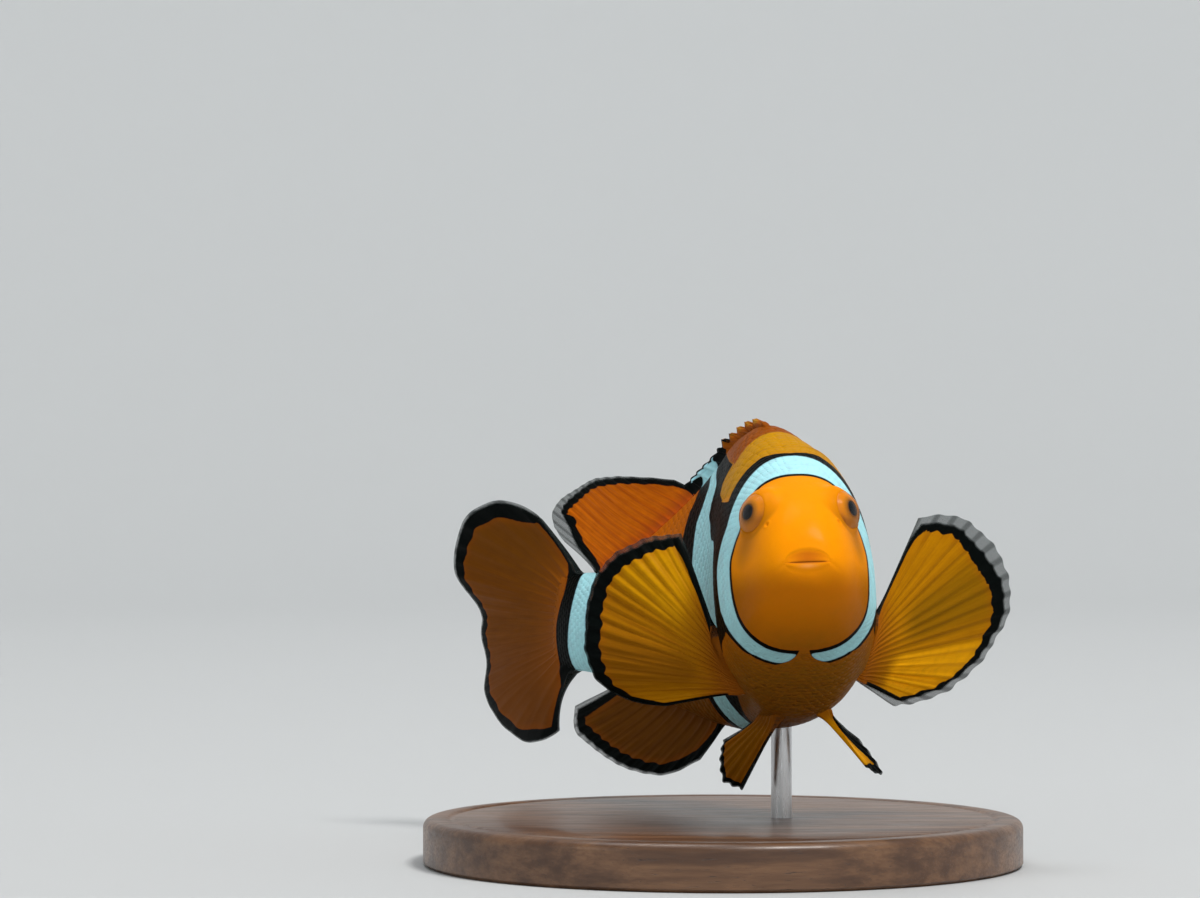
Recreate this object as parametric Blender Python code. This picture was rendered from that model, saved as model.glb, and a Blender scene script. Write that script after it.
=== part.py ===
"""Clownfish, life size, as a still display model on a round stand.

The fish is described straight first: s runs back from the snout, y to the
fish's left, z up, all in millimetres with the mouth at the origin.  place()
then bends it along its spine into the swimming pose.  World axes: the fish
looks along -Y, +Z is up, and the origin is the centre of the stand's underside.
"""
import math

import bmesh
import bpy
import numpy as np

# ---------------------------------------------------------------- driving dimensions (mm)
STANDARD_LENGTH = 62.0          # snout to the root of the tail fin
MOUTH_HALF = 1.7                # half the width of the mouth
EYE_RADIUS = 2.35
EYE_AT = (6.4, 3.0, 4.95)      # s, y, z of the left eyeball's centre
GAP = 0.3                       # clear gap between neighbouring pieces
FIN_EDGE = 0.5                  # least thickness of a fin
STALK_START = 51.5              # trunk ends and tail stalk begins
STALK_END = 60.5                # tail stalk ends and tail fin begins
BASE_RADIUS = 29.0
BASE_THICK = 4.5
BASE_BEVEL = 0.9
ROD_RADIUS = 1.0
ROD_AT_S = 28.5                 # where the rod meets the belly, back from the snout
MOUTH_HEIGHT = 29.9             # mouth above the floor
BASE_CENTRE = (-7.0, 27.0)      # stand centre from the mouth, sideways and backwards
MM = 0.001


class Curve:
    """Smooth curve through (x, y) knots that does not overshoot them."""

    def __init__(self, knots, root=False):
        self.root = root
        x = np.array([k[0] for k in knots], float)
        self.x = np.sqrt(x) if root else x
        self.y = np.array([k[1] for k in knots], float)
        h = np.diff(self.x)
        d = np.diff(self.y) / h
        m = np.zeros(len(self.x))
        for i in range(1, len(m) - 1):
            if d[i - 1] * d[i] > 0:
                a = 2 * h[i] + h[i - 1]
                b = h[i] + 2 * h[i - 1]
                m[i] = (a + b) / (a / d[i - 1] + b / d[i])
        m[0], m[-1] = d[0], d[-1]
        self.m = m

    def __call__(self, t):
        t = np.asarray(t, float)
        if self.root:
            t = np.sqrt(np.maximum(t, 0.0))
        t = np.clip(t, self.x[0], self.x[-1])
        i = np.clip(np.searchsorted(self.x, t, side="right") - 1, 0, len(self.x) - 2)
        h = self.x[i + 1] - self.x[i]
        f = (t - self.x[i]) / h
        return ((2 * f**3 - 3 * f**2 + 1) * self.y[i] + (f**3 - 2 * f**2 + f) * h * self.m[i]
                + (3 * f**2 - 2 * f**3) * self.y[i + 1] + (f**3 - f**2) * h * self.m[i + 1])


# ---------------------------------------------------------------- the straight body
# back, belly and half width against the distance from the snout
TOP = Curve([(0, 0), (0.3, 2.05), (0.9, 3.45), (1.65, 4.6), (3.3, 6.2), (6.2, 8.15), (9.8, 10.0), (14.3, 12.3),
             (18.5, 14.3), (22.5, 15.7), (26, 15.5), (30, 14.15), (36, 11.6), (43, 8.9), (50, 6.3), (54.5, 5.1),
             (57.5, 5.1), (61, 5.5), (64, 6.0)], root=True)
BOT = Curve([(0, 0), (0.3, -1.7), (1.0, -3.0), (2.2, -4.3), (4.5, -5.9), (7, -7.05), (9.5, -8.1), (14, -10.4),
             (20.5, -12.7), (27, -13.2), (33, -13.0), (38, -11.9), (46, -8.5), (54, -5.5), (57.5, -5.0),
             (61, -5.2), (64, -5.7)], root=True)
SIDE = Curve([(0, 0), (0.3, 1.9), (1.0, 3.0), (2.2, 3.9), (4.5, 4.9), (7, 5.7), (9.5, 6.4), (12.5, 7.2),
              (15.5, 7.5), (20, 7.05), (26, 6.4), (32, 5.7), (38, 4.8), (45, 3.8), (52, 2.8), (58, 1.9),
              (61, 1.2), (64, 0.7)], root=True)
MID = Curve([(0, 0), (1, -0.3), (4, -1.2), (9.5, -2.2), (16, -1.8), (24, -0.6), (34, -0.6), (45, -0.3), (64, 0)])
ROUND_UP = Curve([(0, 2.0), (3, 2.15), (9, 2.35), (15, 2.2), (22, 1.95), (34, 1.9), (64, 2.0)])
ROUND_LOW = Curve([(0, 2.0), (3, 2.2), (9, 2.4), (16, 2.5), (24, 2.45), (34, 2.1), (64, 2.0)])


def half_width(s):
    return np.sqrt(MOUTH_HALF**2 * np.clip(1 - np.asarray(s) / 30, 0, 1) + SIDE(s)**2)


def section(s, phi):
    """Point of the body: phi 0 is the fish's left, a quarter turn is the back."""
    s, phi = np.asarray(s, float), np.asarray(phi, float)
    c, sn = np.cos(phi), np.sin(phi)
    m = MID(s)
    n = np.where(sn >= 0, ROUND_UP(s), ROUND_LOW(s))
    h = np.where(sn >= 0, TOP(s) - m, m - BOT(s))
    y = half_width(s) * np.sign(c) * np.abs(c) ** (2 / n)
    z = m + h * np.sign(sn) * np.abs(sn) ** (2 / n)
    return y, z


def gill_edge(phi):
    """Where the head ends: the rear edge of the gill cover, high and low on the body."""
    c, sn = np.abs(np.cos(phi)), np.sin(phi)
    return np.where(sn >= 0, 15.0 + 3.2 * c**1.5, 12.8 + 5.4 * c**1.2)


# ---------------------------------------------------------------- the pose, in degrees along the spine
YAW = Curve([(0, 3.0), (11, 1.5), (20, 7), (28, 22), (36, 36), (46, 43), (58, 39), (80, 33)])
PITCH = Curve([(0, 7.6), (20, 7.6), (40, 9.3), (60, 1.5), (80, 0)])
ROLL = Curve([(0, 2.0), (13, 2.2), (22, 5), (33, 4.2), (46, 0), (60, -5), (80, -6)])
STEP = 0.1


def turn(yaw, pitch, roll):
    y, p, r = math.radians(yaw), -math.radians(pitch), -math.radians(roll)
    rz = np.array([[math.cos(y), -math.sin(y), 0], [math.sin(y), math.cos(y), 0], [0, 0, 1]])
    rx = np.array([[1, 0, 0], [0, math.cos(p), -math.sin(p)], [0, math.sin(p), math.cos(p)]])
    ry = np.array([[math.cos(r), 0, math.sin(r)], [0, 1, 0], [-math.sin(r), 0, math.cos(r)]])
    return rz @ rx @ ry


def spine():
    rot = np.array([turn(float(YAW(s)), float(PITCH(s)), float(ROLL(s))) for s in np.arange(-20, 1000) * STEP])
    back = rot[:, :, 1]
    pos = np.zeros((len(rot), 3))
    pos[1:] = np.cumsum((back[1:] + back[:-1]) / 2 * STEP, axis=0)
    return pos - pos[20], rot


SPINE_POS, SPINE_ROT = spine()
MOUTH_AT = np.array([-BASE_CENTRE[0], -BASE_CENTRE[1], MOUTH_HEIGHT])


def place(s, y, z):
    """Straight-fish coordinates to the posed fish, in millimetres of the world."""
    s, y, z = np.broadcast_arrays(np.asarray(s, float), np.asarray(y, float), np.asarray(z, float))
    f = s / STEP + 20
    i = np.clip(np.floor(f).astype(int), 0, len(SPINE_POS) - 2)
    f = (f - i)[..., None]
    pos = SPINE_POS[i] * (1 - f) + SPINE_POS[i + 1] * f
    left = SPINE_ROT[i][..., :, 0] * (1 - f) + SPINE_ROT[i + 1][..., :, 0] * f
    up = SPINE_ROT[i][..., :, 2] * (1 - f) + SPINE_ROT[i + 1][..., :, 2] * f
    return MOUTH_AT + pos + left * y[..., None] + up * z[..., None]


# ---------------------------------------------------------------- face relief on the straight body
def smooth_max(a, b, k):
    h = np.clip(0.5 + 0.5 * (a - b) / k, 0, 1)
    return b * (1 - h) + a * h + k * h * (1 - h)


def face(s, y, z):
    """Swells the orbits round the eyeballs, and the two lips round the mouth."""
    p = np.stack([s, y, z], -1)
    for sign in (1, -1):
        e = np.array([EYE_AT[0], sign * EYE_AT[1], EYE_AT[2]])
        d = p - e
        r = np.linalg.norm(d, axis=-1)
        r2 = smooth_max(r, EYE_RADIUS + 0.2, 0.7)
        near = np.clip((4.2 - r) / 1.2, 0, 1)
        p = np.where((near > 0)[..., None], e + d / r[..., None] * (r + (r2 - r) * near)[..., None], p)
    s, y, z = p[..., 0], p[..., 1], p[..., 2]
    wide = np.exp(-(y / 2.1) ** 4)
    front = np.clip(1 - s / 2.0, 0, 1)
    lip = 0.28 * np.exp(-((z - 0.62) / 0.42) ** 2) + 0.22 * np.exp(-((z + 0.55) / 0.38) ** 2)
    slit = -0.35 * np.exp(-(z / 0.16) ** 2)
    return s - (lip + slit) * wide * front, y, z


# ---------------------------------------------------------------- mesh helpers
def material(name, colour, rough, metal=0.0):
    m = bpy.data.materials.new(name)
    m.use_nodes = True
    b = m.node_tree.nodes["Principled BSDF"]
    b.inputs["Base Color"].default_value = (*colour, 1)
    b.inputs["Roughness"].default_value = rough
    b.inputs["Metallic"].default_value = metal
    return m


def add_object(name, bm, mat, smooth=True):
    bmesh.ops.recalc_face_normals(bm, faces=bm.faces)
    if bm.calc_volume(signed=True) < 0:
        bmesh.ops.reverse_faces(bm, faces=bm.faces)
    bmesh.ops.triangulate(bm, faces=bm.faces)
    me = bpy.data.meshes.new(name)
    bm.to_mesh(me)
    bm.free()
    me.materials.append(mat)
    if smooth:
        me.shade_smooth()
        me.set_sharp_from_angle(angle=math.radians(50))
    ob = bpy.data.objects.new(name, me)
    bpy.context.collection.objects.link(ob)
    return ob


def loft(name, grid, mat, start, end):
    """Closed tube through rings of world points; start and end close it with a point, or None to weld the ring."""
    bm = bmesh.new()
    rings = [[bm.verts.new(p * MM) for p in ring] for ring in grid]
    n = len(rings[0])
    for a, b in zip(rings[:-1], rings[1:]):
        for i in range(n):
            j = (i + 1) % n
            bm.faces.new((a[i], a[j], b[j], b[i]))
    for ring, tip in ((rings[0], start), (rings[-1], end)):
        if tip is not None:
            c = bm.verts.new(tip * MM)
            for i in range(n):
                bm.faces.new((ring[i], ring[(i + 1) % n], c))
    bmesh.ops.remove_doubles(bm, verts=bm.verts, dist=0.00001)
    return add_object(name, bm, mat)


def sheet(name, mid, thick, mat):
    """Closed thin solid about a grid of mid-surface points (rows along u, columns along v)."""
    nu, nv = mid.shape[:2]
    du = np.gradient(mid, axis=0)
    dv = np.gradient(mid, axis=1)
    n = np.cross(du, dv)
    n /= np.linalg.norm(n, axis=-1)[..., None]
    off = n * (thick / 2)[..., None]
    bm = bmesh.new()
    a = [[bm.verts.new(p * MM) for p in row] for row in mid + off]
    b = [[bm.verts.new(p * MM) for p in row] for row in mid - off]
    for i in range(nu - 1):
        for j in range(nv - 1):
            bm.faces.new((a[i][j], a[i + 1][j], a[i + 1][j + 1], a[i][j + 1]))
            bm.faces.new((b[i][j], b[i][j + 1], b[i + 1][j + 1], b[i + 1][j]))
    for i in range(nu - 1):
        for j in (0, nv - 1):
            bm.faces.new((a[i][j], b[i][j], b[i + 1][j], a[i + 1][j]))
    for j in range(nv - 1):
        for i in (0, nu - 1):
            bm.faces.new((a[i][j], a[i][j + 1], b[i][j + 1], b[i][j]))
    return add_object(name, bm, mat)


def grid_uv(nu, nv):
    return np.meshgrid(np.linspace(0, 1, nu), np.linspace(0, 1, nv), indexing="ij")


# ---------------------------------------------------------------- start clean
for ob in list(bpy.data.objects):
    bpy.data.objects.remove(ob, do_unlink=True)

ORANGE = material("head_skin", (0.82, 0.27, 0.02), 0.42)
FLANK = material("trunk_skin", (0.30, 0.10, 0.02), 0.42)
STALK = material("stalk_skin", (0.75, 0.82, 0.80), 0.42)
EYE = {side: material("eye_glaze_" + side, (0.02, 0.012, 0.008), 0.08) for side in ("left", "right")}
WOOD = material("base_walnut", (0.11, 0.055, 0.028), 0.45)
STEEL = material("rod_steel", (0.62, 0.62, 0.63), 0.3, 1.0)
FIN = {name: material(name + "_skin", colour, 0.38) for name, colour in (
    ("dorsal_front", (0.30, 0.12, 0.02)), ("dorsal_rear", (0.74, 0.24, 0.01)), ("anal", (0.60, 0.22, 0.02)),
    ("caudal", (0.62, 0.24, 0.02)), ("pectoral_left", (0.80, 0.36, 0.02)), ("pectoral_right", (0.80, 0.36, 0.02)),
    ("pelvic_left", (0.62, 0.24, 0.02)), ("pelvic_right", (0.62, 0.24, 0.02)))}

# ---------------------------------------------------------------- body pieces
AROUND = 40
PHI = np.arange(AROUND) * 2 * np.pi / AROUND


def body_rings(s_of, rows, with_face=False):
    grid = []
    for t in rows:
        s = s_of(t)
        y, z = section(s, PHI)
        if with_face:
            s2, y2, z2 = face(s, y, z)
            grid.append(place(s2, y2, z2))
        else:
            grid.append(place(s, y, z))
    return grid


CUT = gill_edge(PHI)
head_rows = np.concatenate([np.linspace(0, 0.30, 8), np.linspace(0.34, 1.0, 17)])
head = loft("head", body_rings(lambda t: CUT * t**2, head_rows, True), ORANGE,
            None, place(12.5, 0, -0.5))

eye_cut = []
for side, sign in (("left", 1), ("right", -1)):
    at = place(EYE_AT[0], sign * EYE_AT[1], EYE_AT[2]) * MM
    for name, radius, seg, ring in (("eye_" + side, EYE_RADIUS, 18, 12), ("cut_eye_" + side, EYE_RADIUS + GAP, 20, 14)):
        bm = bmesh.new()
        bmesh.ops.create_uvsphere(bm, u_segments=seg, v_segments=ring, radius=radius * MM)
        ob = add_object(name, bm, EYE[side])
        ob.location = at
        ob.rotation_euler = (0, math.radians(90), math.radians(-30 * sign))
        if name.startswith("cut"):
            ob.hide_render = True
            ob.display_type = "WIRE"
            mod = head.modifiers.new("socket_" + side, "BOOLEAN")
            mod.operation = "DIFFERENCE"
            mod.solver = "EXACT"
            mod.object = ob

span = STALK_START - CUT
trunk_rows = np.linspace(0, 1, 19)
loft("trunk", body_rings(lambda t: CUT + GAP + (span - GAP) * t, trunk_rows), FLANK,
     place(12.5 + GAP, 0, -0.5), place(STALK_START + 1.0, 0, 0))
loft("tail_stalk", body_rings(lambda t: np.full(AROUND, STALK_START + GAP) + (STALK_END - STALK_START - GAP) * t,
                              np.linspace(0, 1, 6)), STALK,
     place(STALK_START + GAP + 1.0, 0, 0), place(STALK_END, 0, 0))

# ---------------------------------------------------------------- median fins
# each ray leaves the back or belly at base s and ends further back, at a height above the back there
SPINY_SWEEP = Curve([(20.2, 1.2), (22, 2.6), (26, 3.6), (31, 3.8), (36.4, 2.6)])
SPINY_HIGH = Curve([(21.4, 0.5), (23, 0.6), (26.5, 0.95), (29, 1.4), (32.4, 2.0), (34.2, 2.0), (36.5, 2.1), (39, 2.0)])
# soft rays: lean from the upright in degrees, and length
SOFT_LEAN = Curve([(37, 62), (40, 64), (50, 65), (53, 64), (55.4, 60)])
SOFT_LEN = Curve([(37, 3.4), (38.5, 7.0), (41, 11.2), (44, 13.8), (48, 14.7), (51.5, 13.2), (53.5, 10.2),
                  (54.7, 7.4), (55.4, 5.6)])
ANAL_LEAN = Curve([(38.5, 50), (44, 60), (51.5, 70)])
ANAL_LEN = Curve([(38.5, 4.5), (40.5, 8.0), (44, 9.8), (48, 9.6), (51.5, 6.6)])


def fin_thickness(r, root):
    return FIN_EDGE + (root - FIN_EDGE) * np.exp(-r / 1.5)


def spiny_fin(nu, nv):
    u, v = grid_uv(nu, nv)
    s = 20.2 + 16.2 * u
    tip = s + SPINY_SWEEP(s)
    z0, z1 = TOP(s) + GAP, TOP(tip) + SPINY_HIGH(tip)
    r = v * np.hypot(tip - s, z1 - z0)
    return place(s + (tip - s) * v, 0 * s, z0 + (z1 - z0) * v), fin_thickness(r, 0.8)


def soft_fin(s0, s1, nu, nv, lean, length, edge, sign, root=1.1):
    u, v = grid_uv(nu, nv)
    s = s0 + (s1 - s0) * u
    a = np.radians(lean(s))
    r = v * length(s)
    return place(s + r * np.sin(a), 0 * s, edge(s) + sign * (GAP + r * np.cos(a))), fin_thickness(r, root)


sheet("fin_dorsal_front", *spiny_fin(17, 4), FIN["dorsal_front"])
sheet("fin_dorsal_rear", *soft_fin(37.2, 55.2, 15, 7, SOFT_LEAN, SOFT_LEN, TOP, 1), FIN["dorsal_rear"])
sheet("fin_anal", *soft_fin(38.5, 51.5, 12, 6, ANAL_LEAN, ANAL_LEN, BOT, -1), FIN["anal"])

# tail fin: a fan from the end of the stalk, w from -1 (bottom) to 1 (top), its upper lobe swept to the fish's right
TAIL_LEN = Curve([(0, 16.4), (0.25, 17.0), (0.5, 17.4), (0.7, 16.0), (0.85, 13.0), (0.94, 9.6), (1.0, 6.4)])
TAIL_SWEEP = Curve([(-1.0, 3.0), (-0.4, 2.4), (0, 1.2), (0.4, -2.2), (0.7, -3.4), (1.0, -1.6)])


def tail_point(w, v):
    r = v * TAIL_LEN(np.abs(w))
    fan = np.radians(24.0 * w + 34.0 * w**5)
    return STALK_END + GAP + r * np.cos(fan), TAIL_SWEEP(w) * v**1.7, w * 5.25 + r * np.sin(fan)


u, v = grid_uv(21, 7)
w = np.sin((2 * u - 1) * np.pi / 2)
thick = FIN_EDGE + 1.6 * np.exp(-v * 16.0 / 2.4) * np.sqrt(np.clip(1 - 0.8 * w**2, 0, 1))
sheet("fin_caudal", place(*tail_point(w, v)), thick, FIN["caudal"])


# ---------------------------------------------------------------- paired fins
def outward(s, phi, gap):
    """World point just outside the body."""
    e = 1e-3
    y0, z0 = section(s, phi)
    y1, z1 = section(s + e, phi)
    y2, z2 = section(s, phi + e)
    p, a, b = place(s, y0, z0), place(s + e, y1, z1), place(s, y2, z2)
    n = np.cross(b - p, a - p)
    n /= np.linalg.norm(n, axis=-1)[..., None]
    c = place(s, 0, MID(s))
    n = n * np.sign(np.sum(n * (p - c), axis=-1))[..., None]
    return p + n * gap, n


# pectoral fan: rays from the top (0) to the bottom (1) of the root
PEC_LEN = {"right": Curve([(0, 10.1), (0.08, 11.3), (0.22, 13.4), (0.36, 14.9), (0.5, 15.4), (0.64, 15.0), (0.8, 14.0),
                           (0.9, 12.3), (0.96, 9.9), (1.0, 7.4)]),
           "left": Curve([(0, 10.8), (0.08, 13.0), (0.22, 15.4), (0.36, 16.4), (0.5, 16.4), (0.64, 15.0), (0.8, 12.2),
                          (0.92, 8.6), (1.0, 6.0)])}
PEC = {"right": dict(sign=-1, up=70.0, down=-12.0, back=(16.0, 6.0), cup=1.4),
       "left": dict(sign=1, up=65.0, down=-24.0, back=(12.0, 36.0), cup=1.2)}


def pectoral(sign, up, down, back, cup, nu=17, nv=7):
    u, v = grid_uv(nu, nv)
    s = 18.4 + 2.2 * u
    phi = np.radians(-11.0 - 32.0 * u)
    phi = phi if sign > 0 else np.pi - phi
    root, n = outward(s, phi, GAP + 0.3)
    ang = np.radians(up + (down - up) * u**0.9)
    b = np.radians(back[0] + back[1] * u**1.5)
    axis = np.stack([sign * np.cos(ang) * np.cos(b), np.cos(ang) * np.sin(b) + 0.2 * np.abs(np.sin(ang)), np.sin(ang)], -1)
    axis /= np.linalg.norm(axis, axis=-1)[..., None]
    r = (v * PEC_LEN["left" if sign > 0 else "right"](u))[..., None]
    bow = (cup * np.sin(np.pi * u) * v**1.5)[..., None] * np.array([0, -1.0, 0])
    thick = FIN_EDGE + 0.4 * np.exp(-r[..., 0] / 2.0)
    return root + axis * r + bow, thick


for side, par in PEC.items():
    sheet("fin_pectoral_" + side, *pectoral(**par), FIN["pectoral_" + side])

# pelvic fins: narrow blades from the belly, pointing down, out and back; first and last ray directions
PEL_LEN = {"right": Curve([(0, 10.0), (0.3, 10.0), (0.5, 8.7), (0.75, 6.7), (1.0, 4.8)]),
           "left": Curve([(0, 10.2), (0.3, 12.0), (0.65, 11.0), (1.0, 8.0)])}
PEL = {"right": dict(sign=-1, first=(-0.31, 0.62, -0.70), last=(-0.66, 0.60, -0.42), span=4.2, spread=12.0),
       "left": dict(sign=1, first=(0.46, 0.66, -0.56), last=(0.52, 0.92, -0.44), span=1.9, spread=6.0)}


def pelvic(sign, first, last, span, spread, nu=7, nv=6):
    u, v = grid_uv(nu, nv)
    s = 20.4 + span * u
    phi = np.radians(-90.0 + sign * (13.0 + spread * u))
    root, n = outward(s, phi, GAP + 0.1)
    axis = np.array(first) * (1 - u[..., None]) + np.array(last) * u[..., None]
    axis /= np.linalg.norm(axis, axis=-1)[..., None]
    r = (v * PEL_LEN["left" if sign > 0 else "right"](u))[..., None]
    thick = FIN_EDGE + 0.3 * np.exp(-r[..., 0] / 1.5)
    return root + axis * r, thick


for side, par in PEL.items():
    sheet("fin_pelvic_" + side, *pelvic(**par), FIN["pelvic_" + side])

# ---------------------------------------------------------------- stand
bm = bmesh.new()
bmesh.ops.create_cone(bm, cap_ends=True, segments=64, radius1=BASE_RADIUS * MM, radius2=BASE_RADIUS * MM,
                      depth=BASE_THICK * MM)
rim = [e for e in bm.edges if all(v.co.z > 0 for v in e.verts) and len(e.link_faces) == 2]
bmesh.ops.bevel(bm, geom=rim, offset=BASE_BEVEL * MM, segments=3, profile=0.5, affect="EDGES")
base = add_object("stand_base", bm, WOOD)
base.location = (0, 0, BASE_THICK / 2 * MM)

belly = place(ROD_AT_S, 0, BOT(ROD_AT_S))
sides = 20
ring_xy = [(belly[0] + ROD_RADIUS * math.cos(2 * math.pi * k / sides),
            belly[1] + ROD_RADIUS * math.sin(2 * math.pi * k / sides)) for k in range(sides)]


def belly_height(x, y):
    """Height of the belly above a point of the floor plan, found by walking over the underside."""
    best = None
    for s in np.arange(ROD_AT_S - 4, ROD_AT_S + 4, 0.05):
        ph = np.radians(-90 + np.arange(-40, 41, 1.0))
        yy, zz = section(np.full_like(ph, s), ph)
        p = place(s, yy, zz)
        d = (p[:, 0] - x) ** 2 + (p[:, 1] - y) ** 2
        k = int(np.argmin(d))
        if best is None or d[k] < best[0]:
            best = (d[k], p[k, 2])
    return best[1]


top_ring = [np.array([x, y, belly_height(x, y) - GAP]) for x, y in ring_xy]
low_ring = [np.array([x, y, BASE_THICK + GAP]) for x, y in ring_xy]
loft("stand_rod", [low_ring, top_ring], STEEL,
     np.array([belly[0], belly[1], BASE_THICK + GAP]), np.array([belly[0], belly[1], belly[2] - GAP]))
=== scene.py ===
"""Looks of the clownfish display model: one skin, scales, detailed fins and eyes round the fixed frame."""
import math

import bpy
import numpy as np
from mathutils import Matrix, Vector
from mathutils.kdtree import KDTree


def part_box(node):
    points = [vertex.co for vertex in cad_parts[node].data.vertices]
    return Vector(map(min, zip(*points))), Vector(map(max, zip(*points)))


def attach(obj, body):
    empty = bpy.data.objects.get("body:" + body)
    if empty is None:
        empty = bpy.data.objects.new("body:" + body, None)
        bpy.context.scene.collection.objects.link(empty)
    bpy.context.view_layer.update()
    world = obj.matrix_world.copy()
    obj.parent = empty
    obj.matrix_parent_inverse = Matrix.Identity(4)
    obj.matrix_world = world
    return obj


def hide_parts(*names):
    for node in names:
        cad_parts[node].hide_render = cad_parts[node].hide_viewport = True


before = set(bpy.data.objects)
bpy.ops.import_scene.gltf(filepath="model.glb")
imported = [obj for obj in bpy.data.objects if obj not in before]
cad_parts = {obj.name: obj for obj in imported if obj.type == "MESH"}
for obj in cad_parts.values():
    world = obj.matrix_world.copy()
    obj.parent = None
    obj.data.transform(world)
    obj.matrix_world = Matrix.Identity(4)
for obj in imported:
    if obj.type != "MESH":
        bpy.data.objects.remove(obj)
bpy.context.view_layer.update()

MM = 0.001
rng = np.random.default_rng(7)

# ---------------------------------------------------------------- the frame's sizes (mm)
STAND_LO, STAND_HI = (np.array(c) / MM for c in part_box("stand_base"))
ROD_LO, ROD_HI = (np.array(c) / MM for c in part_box("stand_rod"))
BASE_RADIUS = (STAND_HI[0] - STAND_LO[0]) / 2
BASE_THICK = STAND_HI[2] - STAND_LO[2]
MOUTH_AT = np.array([(STAND_LO[0] + STAND_HI[0]) / 2 + 7.0, (STAND_LO[1] + STAND_HI[1]) / 2 - 27.0, STAND_LO[2] + 29.9])
MOUTH_HALF = 1.7
EYE_RADIUS = 2.35
EYE_AT = (6.4, 3.0, 4.95)
EYE_OUT = 0.20                  # the orbit bulges this far past the solid
EYE_AXIS = np.array([-0.555, 0.805, 0.20]) / math.sqrt(0.555**2 + 0.805**2 + 0.04)
EYE_RIM = 51.0                  # angle from the eye's axis at which the skin ends
STALK_END = 60.5
SKIN_DEPTH = 0.05               # the skin lies this far inside the solids, under the scales


class Curve:
    """Smooth curve through (x, y) knots that does not overshoot them."""

    def __init__(self, knots, root=False):
        self.root = root
        x = np.array([k[0] for k in knots], float)
        self.x = np.sqrt(x) if root else x
        self.y = np.array([k[1] for k in knots], float)
        h = np.diff(self.x)
        d = np.diff(self.y) / h
        m = np.zeros(len(self.x))
        for i in range(1, len(m) - 1):
            if d[i - 1] * d[i] > 0:
                a = 2 * h[i] + h[i - 1]
                b = h[i] + 2 * h[i - 1]
                m[i] = (a + b) / (a / d[i - 1] + b / d[i])
        m[0], m[-1] = d[0], d[-1]
        self.m = m

    def __call__(self, t):
        t = np.asarray(t, float)
        if self.root:
            t = np.sqrt(np.maximum(t, 0.0))
        t = np.clip(t, self.x[0], self.x[-1])
        i = np.clip(np.searchsorted(self.x, t, side="right") - 1, 0, len(self.x) - 2)
        h = self.x[i + 1] - self.x[i]
        f = (t - self.x[i]) / h
        return ((2 * f**3 - 3 * f**2 + 1) * self.y[i] + (f**3 - 2 * f**2 + f) * h * self.m[i]
                + (3 * f**2 - 2 * f**3) * self.y[i + 1] + (f**3 - f**2) * h * self.m[i + 1])


# ---------------------------------------------------------------- the straight body, as in the solids
TOP = Curve([(0, 0), (0.3, 2.05), (0.9, 3.45), (1.65, 4.6), (3.3, 6.2), (6.2, 8.15), (9.8, 10.0), (14.3, 12.3),
             (18.5, 14.3), (22.5, 15.7), (26, 15.5), (30, 14.15), (36, 11.6), (43, 8.9), (50, 6.3), (54.5, 5.1),
             (57.5, 5.1), (61, 5.5), (64, 6.0)], root=True)
BOT = Curve([(0, 0), (0.3, -1.7), (1.0, -3.0), (2.2, -4.3), (4.5, -5.9), (7, -7.05), (9.5, -8.1), (14, -10.4),
             (20.5, -12.7), (27, -13.2), (33, -13.0), (38, -11.9), (46, -8.5), (54, -5.5), (57.5, -5.0),
             (61, -5.2), (64, -5.7)], root=True)
SIDE = Curve([(0, 0), (0.3, 1.9), (1.0, 3.0), (2.2, 3.9), (4.5, 4.9), (7, 5.7), (9.5, 6.4), (12.5, 7.2),
              (15.5, 7.5), (20, 7.05), (26, 6.4), (32, 5.7), (38, 4.8), (45, 3.8), (52, 2.8), (58, 1.9),
              (61, 1.2), (64, 0.7)], root=True)
MID = Curve([(0, 0), (1, -0.3), (4, -1.2), (9.5, -2.2), (16, -1.8), (24, -0.6), (34, -0.6), (45, -0.3), (64, 0)])
ROUND_UP = Curve([(0, 2.0), (3, 2.15), (9, 2.35), (15, 2.2), (22, 1.95), (34, 1.9), (64, 2.0)])
ROUND_LOW = Curve([(0, 2.0), (3, 2.2), (9, 2.4), (16, 2.5), (24, 2.45), (34, 2.1), (64, 2.0)])
YAW = Curve([(0, 3.0), (11, 1.5), (20, 7), (28, 22), (36, 36), (46, 43), (58, 39), (80, 33)])
PITCH = Curve([(0, 7.6), (20, 7.6), (40, 9.3), (60, 1.5), (80, 0)])
ROLL = Curve([(0, 2.0), (13, 2.2), (22, 5), (33, 4.2), (46, 0), (60, -5), (80, -6)])
STEP = 0.1


def half_width(s):
    return np.sqrt(MOUTH_HALF**2 * np.clip(1 - np.asarray(s) / 30, 0, 1) + SIDE(s)**2)


def section(s, phi):
    s, phi = np.asarray(s, float), np.asarray(phi, float)
    c, sn = np.cos(phi), np.sin(phi)
    m = MID(s)
    n = np.where(sn >= 0, ROUND_UP(s), ROUND_LOW(s))
    h = np.where(sn >= 0, TOP(s) - m, m - BOT(s))
    y = half_width(s) * np.sign(c) * np.abs(c) ** (2 / n)
    z = m + h * np.sign(sn) * np.abs(sn) ** (2 / n)
    return y, z


def gill_edge(phi):
    c, sn = np.abs(np.cos(phi)), np.sin(phi)
    return np.where(sn >= 0, 15.0 + 3.2 * c**1.5, 12.8 + 5.4 * c**1.2)


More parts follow.
